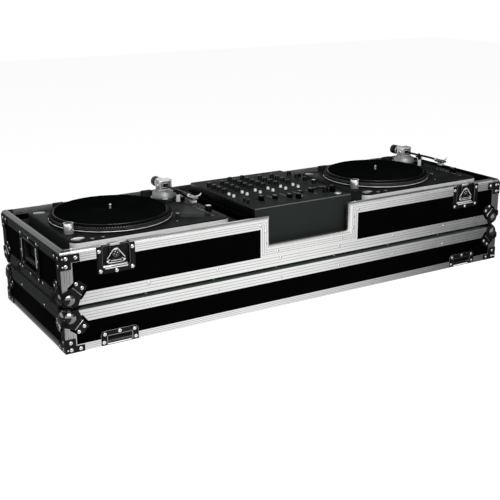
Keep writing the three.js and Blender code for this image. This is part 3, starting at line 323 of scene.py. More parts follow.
def makeBrushAndShadeGroup():  # drawn lines: level on the rails and upright on the corner posts; painted shade darkens the corner posts, the trims at the ends and, greenish, the end faces
    group, given, out = startGroup("drawnLines", "Position Colour Low High", "Colour Roughness Height")
    apart = axes(group, given["Position"])
    pastPost = beyond(group, apart["X"], halfLength - drawn["postInset"])
    pastEnd = beyond(group, apart["X"], halfLength - drawn["endInset"])
    inPost = times(group, pastPost, beyond(group, apart["Y"], halfDepth - drawn["postInset"]))
    y = maths(group, "ABSOLUTE", apart["Y"])
    beforeRim = maths(group, "LESS_THAN", y, halfDepth - drawn["rimInset"])
    across, along = drawn["across"], drawn["along"]
    lines = [noise(group, mapped(group, given["Position"], Scale=scale), 1.0, 3.0)
             for scale in ((along, along, across), (across, across, along))]
    line = addNode(group, "Mix", {"Factor": inPost, 2: lines[0], 3: lines[1]}).outputs[0]
    broad = noise(group, given["Position"], 11.0, 5.0)
    shade = ramp(group, maths(group, "ADD", line, times(group, broad, 0.6)), 0.5, 1.1)
    colour = blended(group, shade, blended(group, 0.88, grey(0), given["Colour"]), given["Colour"])
    # painted shade: the corner posts, the trims at the ends and the end faces darker, where the brushed
    # metal would catch less light
    for zone, share, dark in ((inPost, 0.45, grey(0.12)),
                              (times(group, pastPost, beforeRim), 0.7, grey(0.1)),
                              (times(group, pastEnd, beforeRim), 0.8, grey(0.05, (0.85, 1.15, 1.12)))):
        colour = blended(group, times(group, zone, share), colour, dark)
    group.links.new(colour, out["Colour"])
    group.links.new(ramp(group, shade, 0.0, 1.0, given["Low"], given["High"]), out["Roughness"])
    group.links.new(line, out["Height"])
    return group


fineGrain = makeGrainGroup()
handlingMarks = makeWearGroup()
drawnLines = makeBrushAndShadeGroup()


def startMaterial(name, metallic=0.0, specular=0.5):
    material = bpy.data.materials.new(name)
    material.use_nodes = True
    tree = material.node_tree
    surface = tree.nodes["Principled BSDF"].inputs
    surface["Metallic"].default_value = metallic
    surface["Specular IOR Level"].default_value = specular
    return material, tree, surface, tree.nodes.new("ShaderNodeTexCoord").outputs["Object"]


def finishSurface(tree, surface, colour, roughness, height, strength, depth):
    bump = addNode(tree, "Bump", {"Height": height, "Strength": strength, "Distance": depth * mm})
    for socket, label in ((colour, "Base Color"), (roughness, "Roughness"), (bump.outputs[0], "Normal")):
        tree.links.new(socket, surface[label])


def grainAndMarks(tree, position, colour, dust, amount, fineness, rough):
    grain = useGroup(tree, fineGrain, Position=position, Fineness=fineness, Low=rough[0], High=rough[1])
    marks = useGroup(tree, handlingMarks, Position=position, Colour=colour, Dust=dust, Amount=amount)
    return grain, marks["Colour"]


def grainMaterial(name, shade, dust, rough, amount=0.15, fineness=1500, bump=0.1, depth=0.1, metallic=0.0,
                  specular=0.5, tint=(1, 1, 1)):
    material, tree, surface, position = startMaterial(name, metallic, specular)
    grain, colour = grainAndMarks(tree, position, grey(shade, tint), grey(dust), amount, fineness, rough)
    finishSurface(tree, surface, colour, grain["Roughness"], grain["Height"], bump, depth)
    return material


def onPlates(tree, apart):  # the dark corner plates stand proud of the rim trims
    proud = 0.15 * mm
    return maths(tree, "MAXIMUM", beyond(tree, apart["X"], halfLength + proud),
                 beyond(tree, apart["Y"], halfDepth + proud))


def onShadedFlange(tree, apart):  # the level flange between the tiers, painted dark and dull as the shade in the gap
    away = maths(tree, "ABSOLUTE", maths(tree, "SUBTRACT", apart["Z"], lidTop))
    return maths(tree, "LESS_THAN", away, 0.3 * mm)


def aluminiumMaterial(name, colour, rough, zone=None, zoneColour=None, dullness=1.0, specular=0.5):
    material, tree, surface, position = startMaterial(name, 1.0, specular)
    metal = useGroup(tree, drawnLines, Position=position, Colour=colour, Low=rough[0], High=rough[1])
    shade = metal["Colour"]
    if zone:
        inZone = zone(tree, axes(tree, position))
        shade = blended(tree, inZone, shade, zoneColour)
        tree.links.new(maths(tree, "MULTIPLY_ADD", inZone, -dullness, 1.0), surface["Metallic"])
    finishSurface(tree, surface, shade, metal["Roughness"], metal["Height"], 0.12, 0.2)
    return material


# each finish: its grey, its dust's grey, the range of its roughness, and where it differs from the usual
laminate = grainMaterial("blackLaminate", 0.0006, 0.003, (0.4, 0.55), amount=0.3, bump=0.25, depth=0.2,
                         specular=0.01)
darkNickel = grainMaterial("darkNickel", 0.006, 0.02, (0.16, 0.3), amount=0.25, fineness=700, bump=0.08,
                           depth=0.2, specular=0.12, tint=(1, 1.08, 1.06))
# a pale metal for the bevelled edges and beads of the dark hardware: painted highlight
edgeNickel = grainMaterial("edgeNickel", 0.55, 0.3, (0.18, 0.3), fineness=900, bump=0.05, metallic=1.0)
ballNickel = grainMaterial("ballNickel", 0.26, 0.15, (0.06, 0.14), amount=0.2, fineness=500, bump=0.04,
                           depth=0.2, metallic=1.0, tint=(1, 1, 0.98))
brightSteel = grainMaterial("brightSteel", 0.97, 0.6, (0.14, 0.26), amount=0.12, fineness=900, bump=0.05,
                            metallic=0.3)
rubber = grainMaterial("blackRubber", 0.008, 0.03, (0.55, 0.75), amount=0.25, fineness=1300, bump=0.4,
                       depth=0.4, specular=0.3)
foam = grainMaterial("greyFoam", 0.018, 0.04, (0.85, 1.0), amount=0.35, fineness=420, bump=0.8, depth=1.0,
                     specular=0.1, tint=(1, 1.04, 1.03))
silver = grainMaterial("satinSilver", 0.85, 0.5, (0.24, 0.36), amount=0.12, fineness=1400, bump=0.06,
                       metallic=0.6, tint=(1, 1, 0.99))
paleSilver = grainMaterial("paleSilver", 0.98, 0.7, (0.16, 0.24), amount=0.1, fineness=1400, bump=0.03,
                           metallic=0.75)
castSilver = grainMaterial("castSilver", 0.36, 0.2, (0.42, 0.58), amount=0.2, fineness=1400, metallic=0.55,
                           tint=(0.96, 1.02, 1))
knobPlastic = grainMaterial("knobPlastic", 0.0012, 0.004, (0.18, 0.28), specular=0.03)
rivetSteel = grainMaterial("rivetSteel", 0.97, 0.6, (0.12, 0.2), amount=0.1, fineness=900, bump=0.03,
                           metallic=0.85)
mixerPaint = grainMaterial("mixerPaint", 0.032, 0.025, (0.34, 0.48), amount=0.25, fineness=1900, bump=0.25,
                           depth=0.2, specular=0.004, tint=(0.92, 1.08, 1.05))
plastic = grainMaterial("blackPlastic", 0.0025, 0.01, (0.2, 0.32), bump=0.15, depth=0.2, specular=0.12)
whitePlastic = grainMaterial("whitePlastic", 0.95, 0.7, (0.3, 0.45), amount=0.1)
# a paler grey for the mixer's front chamfer and bevels: painted highlight
paintEdge = grainMaterial("paintEdge", 0.16, 0.1, (0.25, 0.4), amount=0.2, fineness=1900, specular=0.3,
                          tint=(1, 1.03, 1.02))
darkChrome = grainMaterial("darkChrome", 0.2, 0.12, (0.14, 0.24), fineness=900, bump=0.05, metallic=1.0)
bare, bareRough = grey(0.95, (1, 1.01, 0.995)), (0.2, 0.34)
# painted shade: the grey of the lid's level flange in the gap between the tiers
flange = grey(0.13, (0.85, 1.1, 1.05))
aluminium = aluminiumMaterial("satinAluminium", bare, bareRough, onShadedFlange, flange, 0.95)
rimAluminium = aluminiumMaterial("rimAluminium", bare, bareRough, onPlates, grey(0.01), 1.0, 0.12)
# painted shade for the fine grooves
grooveMetal = aluminiumMaterial("grooveMetal", grey(0.42), (0.3, 0.45))


def twoZoneMaterial(name, edgeZ, endsX):  # a deck's painted top over a bare front and back, and ends painted dark as shade
    material, tree, surface, position = startMaterial(name, specular=0.01)
    apart = axes(tree, position)
    isTop = maths(tree, "GREATER_THAN", apart["Z"], edgeZ)
    isEnd = maths(tree, "MAXIMUM", maths(tree, "LESS_THAN", apart["X"], endsX[0]),
                  maths(tree, "GREATER_THAN", apart["X"], endsX[1]))
    grain, topColour = grainAndMarks(tree, position, deck["paint"], grey(0.12), 0.12, 1800, (0.3, 0.45))
    # painted shade: the plinth's end faces take the dark ends colour
    skirt = blended(tree, isEnd, deck["skirt"], deck["ends"])
    bare = times(tree, maths(tree, "SUBTRACT", 1.0, isTop), maths(tree, "SUBTRACT", 1.0, isEnd))
    tree.links.new(times(tree, bare, 0.35), surface["Metallic"])
    finishSurface(tree, surface, blended(tree, isTop, skirt, topColour), grain["Roughness"], grain["Height"],
                  0.15, 0.2)
    return material


def aroundSpindle(tree, position, centre):
    return axes(tree, mapped(tree, position, Location=(-centre[0], -centre[1], 0)))


strobe = {"count": 140, "rows": 2, "rowHeight": 4.6 * mm, "ground": grey(0.003), "dot": grey(0.14)}


def strobeMaterial(name, centre, bottom):  # rows of small pale squares round a dark platter's rim
    material, tree, surface, position = startMaterial(name, specular=0.002)
    apart = aroundSpindle(tree, position, centre)
    bearing = maths(tree, "ARCTAN2", apart["Y"], apart["X"])
    height = maths(tree, "DIVIDE", maths(tree, "SUBTRACT", apart["Z"], bottom), strobe["rowHeight"])
    shift = times(tree, maths(tree, "FLOOR", height), math.pi / strobe["count"])
    across = maths(tree, "SINE", times(tree, maths(tree, "ADD", bearing, shift), strobe["count"]))
    upright = maths(tree, "PINGPONG", maths(tree, "FRACT", height), 0.5)
    inBand = times(tree, maths(tree, "GREATER_THAN", height, 0),
                   maths(tree, "LESS_THAN", height, strobe["rows"]))
    inSquare = times(tree, maths(tree, "GREATER_THAN", across, 0.35),
                     maths(tree, "GREATER_THAN", upright, 0.2))
    dots = times(tree, inBand, inSquare)
    grain, colour = grainAndMarks(tree, position, strobe["ground"], grey(0.02), 0.2, 900, (0.18, 0.3))
    tree.links.new(times(tree, dots, 0.3), surface["Metallic"])
    colour = blended(tree, dots, colour, strobe["dot"])
    finishSurface(tree, surface, colour, grain["Roughness"], dots, 0.5, 0.6)
    return material


def ringedMaterial(name, centre, spacing, colour, rough):  # fine rings round a spindle
    material, tree, surface, position = startMaterial(name, specular=0.0)
    apart = aroundSpindle(tree, position, centre)
    squares = [times(tree, apart[axis], apart[axis]) for axis in "XY"]
    radius = maths(tree, "SQRT", maths(tree, "ADD", *squares))
    wave = maths(tree, "SINE", times(tree, radius, 2 * math.pi / spacing))
    grain, shade = grainAndMarks(tree, position, colour, grey(0.012), 0.3, 900, rough)
    finishSurface(tree, surface, shade, grain["Roughness"], wave, 0.35, 0.4)
    return material


print("materials made")

# CAD nodes that stay, with their finish
kept = {"lid_shell": laminate, "base_shell": laminate, "lid_foam": foam, "base_lining": foam,
        "lid_edge_trim": aluminium, "base_edge_trim": aluminium, "lid_rim_trim": rimAluminium,
        "base_rim_trim": rimAluminium}
for node, material in kept.items():
    nodes[node].data.materials.clear()
    nodes[node].data.materials.append(material)
print("walls, trims and foam finished")

# rounded copies of the hardware, most with their bevelled edges in a pale metal as painted highlight
hardware = {"corner": 1.1, "latch": 0.4, "wheel": 1.2, "wingBorder": 2.2, "wingSink": 0.6}


def sinkWing(piece):  # a pressed panel inside the wing's border
    outside = -1 if piece.name.startswith("latchFront") else 1
    editFaces(piece, lambda centre, normal: normal.y * outside > 0.9)
    pressIn(hardware["wingBorder"], (0, -outside * hardware["wingSink"], 0))
    doneEditing()


for node in nodes:
    isDish = node.endswith("dish")
    if "ball_corner" in node:
        softCopy(node, darkNickel, hardware["corner"], angle=25, smooth=40, edge=edgeNickel)
    elif node.startswith("lid_catch") or node.startswith("handle_") and isDish:
        softCopy(node, darkNickel, edge=edgeNickel)
    elif node.startswith("latch"):
        softCopy(node, darkNickel, hardware["latch"], work=sinkWing if node.endswith("wing") else None,
                 edge=None if isDish else edgeNickel)
    elif node.startswith("handle_"):
        softCopy(node, rubber)
    elif node.startswith("wheel"):
        softCopy(node, rubber, hardware["wheel"], 3)
print("hardware rounded")

# polished domes of the ball corners, one on each outer face
dome = {"radius": 23.95 * mm, "inset": 17.65 * mm}


def makeDome():  # a cap cut from a ball, lying on z = 0 with its middle at the top
    bpy.ops.mesh.primitive_uv_sphere_add(segments=36, ring_count=36, radius=dome["radius"],
                                         location=(0, 0, -dome["inset"]))
    piece = named("dome", ballNickel)
    editAll(piece)
    bpy.ops.mesh.bisect(plane_co=(0, 0, 0), plane_no=(0, 0, 1), clear_inner=True, use_fill=True)
    doneEditing()
    smoothByAngle(piece, 50)
    return piece


def domesAt(body, z, upright, xSide, ySide):  # on the long face, the end and the level face of one corner
    name = f"{body}Dome{'Left' if xSide < 0 else 'Right'}{'Front' if ySide < 0 else 'Back'}"
    x, y = xSide * (halfLength - dome["inset"]), ySide * (halfDepth - dome["inset"])
    height = z - upright * dome["inset"]
    return [(name + word, body, Matrix.Translation(place) @ spun(turn, axis)) for word, place, turn, axis in
            (("Long", (x, ySide * halfDepth, height), -90 * ySide, "X"),
             ("End", (xSide * halfLength, y, height), 90 * xSide, "Y"),
             ("Level", (x, y, z), 90 - 90 * upright, "X"))]


domePlaces = []
for xSide, ySide in ((-1, -1), (-1, 1), (1, -1), (1, 1)):
    domePlaces += domesAt("base", baseBottom, -1, xSide, ySide) + domesAt("lid", lidTop, 1, xSide, ySide)
placedCopies(makeDome(), domePlaces)
print("domes polished")

# rivets: a pressed dome with a dimple, made once lying on z = 0
rivet = {"trimRadius": 4.2, "hardwareRadius": 5.2, "tinyRadius": 2.6, "height": 1.7, "sink": 0.6,
         "wall": 0.204, "skirtFrom": 0.93, "dimple": (0.2, 0.32),
         "rings": ((0.08, 0.0), (0.24, 0.46), (0.2, 0.28), (0.16, 0.12), (0.12, -0.14), (0.1, 0.08))}


def makeRivet(name, radius, crown):  # a skirt painted dark as shadow round the rivet, a pale dome, and a dimple painted dark as shade round a bright point
    piece = rod(name, (0, 0, -rivet["sink"]), (0, 0, rivet["wall"]), radius, crown, 16)
    piece.data.materials.append(darkNickel)
    editFaces(piece, lambda centre, normal: normal.z > 0.9)
    for thickness, rise in rivet["rings"]:
        pressIn(thickness * radius, (0, 0, rise * rivet["height"]))
    doneEditing()
    low, high = rivet["dimple"]
    # painted shadow on the skirt and painted shade in the dimple
    for face in piece.data.polygons:
        reach = math.hypot(face.center.x, face.center.y) / (radius * mm)
        if reach > rivet["skirtFrom"] or low < reach < high:
            face.material_index = 1
    smoothByAngle(piece, 40)
    return piece


smallRivet = makeRivet("smallRivet", rivet["trimRadius"], rivetSteel)
# rivets for the shaded gap: a white crown as painted highlight
flangeRivet = makeRivet("flangeRivet", rivet["trimRadius"], whitePlastic)
largeRivet = makeRivet("largeRivet", rivet["hardwareRadius"], rivetSteel)
tinyRivet = makeRivet("tinyRivet", rivet["tinyRadius"], rivetSteel)
tiers = {"base": [], "lid": []}  # rivets by body: (template, matrix)
rivetRows = {"long": (-505, -303, -101, 101, 303, 505), "short": (-92, 92), "flangeInset": 24}
latchPlaces = (("front", "left", -592), ("front", "right", 592), ("back", "left", 592),
               ("back", "right", -592))


def addRivets(body, template, face, spots, out=0.0):  # spots: along the wall and up
    tiers[body] += [(template, wallFrame(face, along, z, out) @ spun(90, "X")) for along, z in spots]


def addCornerRivets(body, template, face, spots, out):  # spots: in from the wall's ends, and up
    reach = walls[face][2]
    for side in (-1, 1):
        addRivets(body, template, face, [(side * (reach - inset), z) for inset, z in spots], out)


plateOut, ballOut = 1.45, 0.1  # how far the corner plates and the ball corners stand off the trims
ballSpots = ((37, 56.5), (51.6, 44))
for face in walls:
    row = rivetRows["long" if face in longFaces else "short"]
    addRivets("base", smallRivet, face, [(along, 145.6) for along in row])
    addRivets("lid", smallRivet, face, [(along, 86) for along in row])
    for along in row:  # on the lid's level flange, in the gap between the tiers, with pale crowns as painted highlight
        tiers["lid"].append((flangeRivet, wallFrame(face, along, level["lid"], -rivetRows["flangeInset"])))
    addCornerRivets("base", largeRivet, face, ((14, 248.5), (39, 248.5), (13, 228)), plateOut)
    addCornerRivets("lid", largeRivet, face, ((14, 9), (39, 9), (13, 28)), plateOut)
    if face in longFaces:
        addCornerRivets("base", tinyRivet, face, ((5, 248.5), (5, 228)), plateOut)
        addCornerRivets("lid", tinyRivet, face, ((5, 9),), plateOut)
    for body, z, upright in (("base", level["bottom"], 1), ("lid", level["lid"], -1)):
        spots = [(inset, z + upright * rise) for inset, rise in ballSpots]
        addCornerRivets(body, largeRivet, face, spots, ballOut)
for side in (-1, 1):
    addRivets("base", smallRivet, "front", [(side * along, z) for along, z in
                                            ((168, 246), (150, 227), (150, 193), (111, 166.5))])
addRivets("base", smallRivet, "back", [(along, 252) for along in rivetRows["long"]])
for face, _, at in latchPlaces:
    dishSpots = ((-45, 252), (45, 252), (-43, 200), (43, 200), (0, 196.5))
    catchSpots = ((-44, 9), (44, 9), (-41, 31), (41, 31), (0, 33.5))
    addRivets("base", largeRivet, face, [(at + dx, z) for dx, z in dishSpots])
    addRivets("lid", largeRivet, face, [(at + dx, z) for dx, z in catchSpots])
for face in shortFaces:
    addRivets("base", largeRivet, face, [(dx, z) for dx in (-66, 66) for z in (243, 195, 147)], 1.9)
    addRivets("base", largeRivet, face, [(0, 243), (0, 145)], 1.9)
for body, spots in tiers.items():
    made = [copied(template, "rivet", matrix) for template, matrix in spots]
    mounted(joined(made, body + "Rivets"), body)
for template in (smallRivet, flangeRivet, largeRivet, tinyRivet):
    bpy.data.objects.remove(template)
print("rivets set")

# fine grooves drawn along the extrusions, as proud strips in a darker metal: painted shade for the grooves
groove = {"half": 0.65, "proud": 0.2, "sink": 0.5, "cornerEnd": 51, "plateEnd": 38.5, "notch": 135,
          "notchFloor": 187.3, "depths": (14, 20, 26)}
grooves = {"base": [], "lid": []}
latchGaps, catchGaps = ([(at - half, at + half) for at in (-592, 592)] for half in (53.5, 53))
wheelGaps = [(-132, -102), (142, 172)]


def addGroove(body, face, start, end, across, upright=False):  # along the wall and up
    turn, distance, _ = walls[face]
    low, high = (start, across - groove["half"]), (end, across + groove["half"])
    if upright:
        low, high = (across - groove["half"], start), (across + groove["half"], end)
    strip = slab("groove", (low[0], -distance - groove["proud"], low[1]),
                 (high[0], groove["sink"] - distance, high[1]), grooveMetal)
    strip.data.transform(spun(turn, "Z"))
    grooves[body].append(strip)


def addCutGroove(body, face, reach, across, gaps):  # from end to end, broken at the gaps
    start = -reach
    for low, high in gaps:
        addGroove(body, face, start, low, across)
        start = high
    addGroove(body, face, start, reach, across)


for face, (_, _, reach) in walls.items():
    isLong = face in longFaces
    for offset, inset in ((9, 38), (17, 53.5), (25, 59)):
        gaps = wheelGaps if face == "left" else ()
        addCutGroove("base", face, reach - inset, level["bottom"] + offset, gaps)
        addCutGroove("lid", face, reach - inset, level["lid"] - offset, ())
    for side in (-1, 1):
        for inset in (8.5, 15, 21.5):
            footRise = 66 - 0.35 * inset
            addGroove("base", face, level["bottom"] + footRise, 219, side * (reach - inset), True)
            addGroove("lid", face, groove["plateEnd"], level["lid"] - footRise, side * (reach - inset), True)
    for depth in groove["depths"]:
        gaps = list(latchGaps) if isLong else []
        if face == "front":
            gaps.insert(1, (-groove["notch"] - depth, groove["notch"] + depth))
        addCutGroove("base", face, reach - groove["cornerEnd"], level["rim"] - depth, gaps)
    for z in (5.5, 10.5, 15.5):
        addCutGroove("lid", face, reach - groove["cornerEnd"], z, catchGaps if isLong else ())
for depth in groove["depths"]:
    edge, floorZ = groove["notch"] + depth, groove["notchFloor"] - depth
    for side in (-1, 1):
        addGroove("base", "front", floorZ, level["rim"] - depth, side * edge, True)
    addGroove("base", "front", -edge, edge, floorZ)
for body, strips in grooves.items():
    lines = joined(strips, body + "Grooves")
    roundEdges(lines, 0.12, 1, smooth=None)
    mounted(lines, body)
print("grooves drawn")


# raised borders on the pressed plates
def addBorder(name, width, height, middle, round_, material, proud=1.0, band=2.6):  # middle: how far up
    bpy.ops.mesh.primitive_plane_add(size=1, location=(0, 0, middle * mm), rotation=(math.pi / 2, 0, 0))
    bpy.context.object.scale = (width * mm, height * mm, 1)
    piece = named(name, material)
    editAll(piece)
    bpy.ops.mesh.select_mode(type="VERT")
    selectAll()
    bpy.ops.mesh.bevel(offset=round_ * mm, segments=5, affect="VERTICES")
    bpy.ops.mesh.select_mode(type="FACE")
    selectAll()
    bpy.ops.mesh.inset(thickness=band * mm)
    bpy.ops.mesh.delete(type="FACE")
    selectAll()
    bpy.ops.mesh.extrude_region_move(TRANSFORM_OT_translate={"value": (0, -proud * mm, 0)})
    selectAll()
    bpy.ops.mesh.normals_make_consistent(inside=False)
    doneEditing()
    roundEdges(piece, 0.4, 2, 50)
    return piece


hubHeight, gripHeight = 241, 196.5


def setAtLatches(template, body, z=hubHeight, out=0.0):  # body: a tier, or the latch's own moving part
    places = []
    for face, side, at in latchPlaces:
        rides = body if body in tiers else f"latch_{face}_{side}_{body}"
        places.append((template.name + face.title() + side.title(), rides, wallFrame(face, at, z, out)))
    placedCopies(template, places)


setAtLatches(addBorder("latchBorder", 76, 61, -6, 9, darkChrome, 0.8, 1.4), "base", out=-0.1)
setAtLatches(slab("latchSill", (-31, -1.2, -37.4), (31, 0.6, -34.2), brightSteel, 0.8, 3), "base")
setAtLatches(addBorder("catchBorder", 73, 27, 14.2, 4, darkChrome, 0.8, 1.8), "lid", 0, -0.1)
setAtLatches(addBorder("hubRing", 18, 18, 0, 8.9, darkChrome, 0.5, 1.3), "rotor", out=-0.7)
# painted highlight: bright bars on the handle dish's curved sides
bars = [slab("bar", (x - 1.7, -1.6, -20), (x + 1.7, 1.5, 34), brightSteel, 1.2, 3) for x in (-57.6, 57.6)]
for template in (joined(bars, "dishEdges"), addBorder("handleBorder", 116, 78, 0, 9, darkChrome)):
    placedCopies(template, [(template.name + face.title(), "base", wallFrame(face, 0, gripHeight, 1.8))
                            for face in shortFaces])

# a bead over each ball corner's step, on the two upright faces, its pale metal a painted highlight
ridge = {"at": 53 * math.sqrt(0.5), "half": 16, "radius": 1.3, "out": 2.2}


def makeRidge():
    piece = rod("ridgeBead", (-ridge["half"], 0, 0), (ridge["half"], 0, 0), ridge["radius"], edgeNickel, 10)
    editFaces(piece, lambda centre, normal: abs(normal.x) > 0.9)
    pressIn(0.4 * ridge["radius"])
    doneEditing()
    roundEdges(piece, 0.3, 2, 60, 50)
    return piece


beadPlaces = []
for face, (_, _, reach) in walls.items():
    for side in (-1, 1):
        end = "L" if side < 0 else "R"
        for body, z, tilt in (("base", level["bottom"] + ridge["at"], -45 * side),
                              ("lid", level["lid"] - ridge["at"], 45 * side)):
            place = wallFrame(face, side * (reach - ridge["at"]), z, ridge["out"])
            beadPlaces.append((f"{body}Bead{face.title()}{end}", body, place @ spun(tilt, "Y")))
placedCopies(makeRidge(), beadPlaces)

# the twist handle's yoke round its hub and the wing's border in bright steel as painted highlight, and a
# bright strip at the foot of the recess as painted reflection
yoke = {"front": 0.7, "line": 0.85, "heavy": 1.6, "screwRing": 4.6,
        "path": [(-24.5, -12.6), (-11.6, 3.5), (-7.5, 9.6), (0, 12), (7.5, 9.6), (11.6, 3.5), (24.5, -12.6)]}
wing = {"front": 1.2, "line": 0.9,
        "path": [(-16, -14.6), (-25.4, -18.6), (-20, -23.4), (20, -23.4), (25.4, -18.6), (16, -14.6)]}


def wireAlong(shape):  # a bent bright wire through the path's points, a painted highlight, heavier at the yoke's right foot
    rods, points = [], [(x, shape["front"], z) for x, z in shape["path"]]
    for a, b in zip(points, points[1:]):
        thick = shape["line"] * (shape.get("heavy", 1) if b[0] > 11 else 1)
        rods.append(pin("wire", a, b, thick, brightSteel, 10, None, 0.25))
    return rods


def makeYoke():  # with a rounded crown over the hub and four screws round it
    made = wireAlong(yoke) + [slab("crown", (-4.5, 0.2, 9.2), (6, 1.4, 13.6), brightSteel, 2.0, 4)]
    for turn in (0.25, 1.9, 3.4, 5.0):
        x, z = yoke["screwRing"] * math.cos(turn), yoke["screwRing"] * math.sin(turn)
        made.append(pin("hubScrew", (x, 1.2, z), (x, -0.1, z), 1.6, brightSteel, 12, 1.1))
    return joined(made, "latchYoke")


def makeWingBorder():
    made = wireAlong(wing) + [slab("footBar", (-14, 0.4, -18.8), (15, 1.5, -17.2), brightSteel, 0.5)]
    for x in (-21.5, 21.5):
        made.append(pin("footDot", (x, 1.6, -19.6), (x, -0.2, -19.6), 2.4, brightSteel, 16, 1.7))
    return joined(made, "wingBorder")


# painted reflection: a bright strip for the light on the recess's lower curved wall
def makeRecessReflection():
    piece = slab("recessLip", (-33, 3.9, -34.4), (33, 9, -30.4), brightSteel)
    editFaces(piece, lambda centre, normal: normal.z > 0.9)
    bpy.ops.transform.translate(value=(0, 2.4 * mm, 0))
    doneEditing()
    roundEdges(piece, 1.4, 3, smooth=50)
    return piece


setAtLatches(makeYoke(), "rotor")
setAtLatches(makeWingBorder(), "wing")
setAtLatches(slab("hookBar", (-13, 4.5, 20.2), (13, 5.3, 26.6), brightSteel, 0.35), "hook")
setAtLatches(makeRecessReflection(), "base")


def makeHubCap():  # a dished cap on a wheel's hub
    piece = rod("hubCap", (0, 0.6, 0), (0, -0.5, 0), 9.2, darkChrome, 28)
    editFaces(piece, lambda centre, normal: normal.y < -0.9)
    pressIn(1.6, (0, 0.4, 0))
    doneEditing()
    smoothByAngle(piece)
    return piece


capPlaces = []
for end in ("front", "back"):
    low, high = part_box("wheel_" + end)
    for name, y, turn in (("Front", low.y, 0), ("Back", high.y, 180)):
        place = Matrix.Translation(((low.x + high.x) / 2, y, (low.z + high.z) / 2))
        capPlaces.append((f"hubCap{end.title()}{name}", bodyOf["wheel_" + end], place @ spun(turn, "Z")))
placedCopies(makeHubCap(), capPlaces)
print("borders pressed")

# turntables, measured from the plinth's front left corner at its top
# the ends' grey is painted shade on the plinths' end faces
deck = {"top": baseTop + 6.6 * mm, "topBand": 3.2 * mm, "endBand": 0.6 * mm, "matRings": 3.4 * mm,
        "spindle": (179, 180), "post": (409, 230), "light": (333.7, 84), "adaptor": (28, 328),
        "pitchX": 434, "paint": grey(0.013, (0.9, 1.08, 1.05)), "skirt": grey(0.85),
        "ends": grey(0.035, (0.9, 1.08, 1.05)), "mat": grey(0.0042, (0.8, 1.1, 1.05))}
arm = {"pivot": (396, 296), "height": 39, "length": 167, "shell": 28.4, "weightFrom": 26, "housing": 14,
       "collarTo": 9, "cartridge": (20, 8.2)}
platter = {"top": 14 * mm, "strobeFrom": 30 * mm, "spindleRise": 8 * mm, "matReach": 153 * mm,
           "matRise": 0.3 * mm, "rimDrop": 3.2 * mm, "lipDrop": 0.5 * mm}


def finishArm(piece):  # black counterweight, dark tube, pale cartridge
    addFinishes(piece, plastic, whitePlastic, darkNickel, darkChrome)
    low = Vector(piece.bound_box[0])
    cartridgeY, cartridgeZ = arm["cartridge"]
    for face in piece.data.polygons:
        y = (face.center.y - low.y) / mm - arm["shell"]
        z = (face.center.z - low.z) / mm
        if y > arm["length"] + arm["weightFrom"]:
            face.material_index = 1
        elif z < cartridgeZ and y < cartridgeY:
            face.material_index = 2
        elif y < arm["collarTo"]:
            face.material_index = 4
        elif y < arm["length"] - arm["housing"]:
            face.material_index = 3


def finishBase(piece):  # a dark foot under the pale arm housing
    addFinishes(piece, darkNickel)
    for face in piece.data.polygons:
        if face.center.z < baseTop + 16 * mm:
            face.material_index = 1


def finishPlatter(piece):  # the mat, the strobe rim and the spindle, its tip in bright steel as a painted highlight
    low, high = Vector(piece.bound_box[0]), Vector(piece.bound_box[6])
    x, y = (low.x + high.x) / 2, (low.y + high.y) / 2
    top = high.z - platter["top"]
    rim = strobeMaterial("strobeRim" + piece.name[9:13], (x, y), high.z - platter["strobeFrom"])
    addFinishes(piece, rim, brightSteel, darkChrome)
    for face in piece.data.polygons:
        rise = face.center.z - top
        isRim = math.hypot(face.center.x - x, face.center.y - y) > platter["matReach"]
        if rise > platter["matRise"]:
            face.material_index = 2 if rise > platter["spindleRise"] else 3
        elif rise < -platter["rimDrop"] or isRim and rise < -platter["lipDrop"]:
            face.material_index = 1


def dressPlatter(name, body, matrix):
    x, y = deck["spindle"]
    rings = [ringBead("lowerBead", (x, y, 4.9), 165.2, 1.1, brightSteel),
             ringBead("matBead", (x, y, 20.6), 152.4, 0.5, darkChrome)]
    settled(rings, name + "Rings", body, matrix)


def dressArm(name, body, matrix):
    x, y = arm["pivot"]
    z, end = arm["height"], y - arm["length"]
    made = []
    for width, height, proud, band in ((34, 27, 2.6, 3.2), (21, 15.5, 1.6, 2.0)):
        gimbal = addBorder("gimbalRing", width, height, 0, 4, silver, proud, band)
        gimbal.data.transform(Matrix.Translation((x * mm, (y - 12.9) * mm, z * mm)))
        made.append(gimbal)
    made.append(slab("shade", (x - 14, y - 13.4, z - 10.5), (x + 14, y - 12.6, z + 10.5), plastic, 0.2))
    for bar in (z - 6.4, z + 6.4):
        made.append(slab("bar", (x - 12, y - 14.6, bar - 1), (x + 12, y - 13, bar + 1), silver, 0.4))
    for side in (-1, 1):
        made.append(pin("cap", (x + side * 19.5, y, z), (x + side * 22.2, y, z), 6.5, silver, 20, 5.6))
        made.append(pin("screw", (x + side * 22, y, z), (x + side * 22.8, y, z), 2.6, darkChrome, 12))
    made.append(pin("weightRing", (x, y + 26.2, z), (x, y + 29.4, z), 15.9, silver, 32))
    made.append(pin("weightScale", (x, y + 21.5, z), (x, y + 26.4, z), 12.5, plastic, 32))
    made.append(pin("shellCollar", (x, end + 9, z), (x, end + 2.4, z), 5.4, silver, 20))
    lift = [(x + dx, end + dy, z + dz) for dx, dy, dz in
            ((9, -15, 1.4), (16.5, -16, 2.0), (22, -17, 5.0), (25.5, -18.5, 9.5))]
    for a, b in zip(lift, lift[1:]):
        made.append(pin("fingerLift", a, b, 1.7, whitePlastic, 10))
    for low, high, round_ in (((-5, -27.4, -10.5), (5, -25.8, -5), 0.4),
                              ((-4.4, -26, -13.4), (4.4, -14, -9.8), 1.2)):
        made.append(slab("cartridge", (x + low[0], end + low[1], z + low[2]),
                         (x + high[0], end + high[1], z + high[2]), whitePlastic, round_))
    settled(made, name + "ArmFittings", body, matrix)


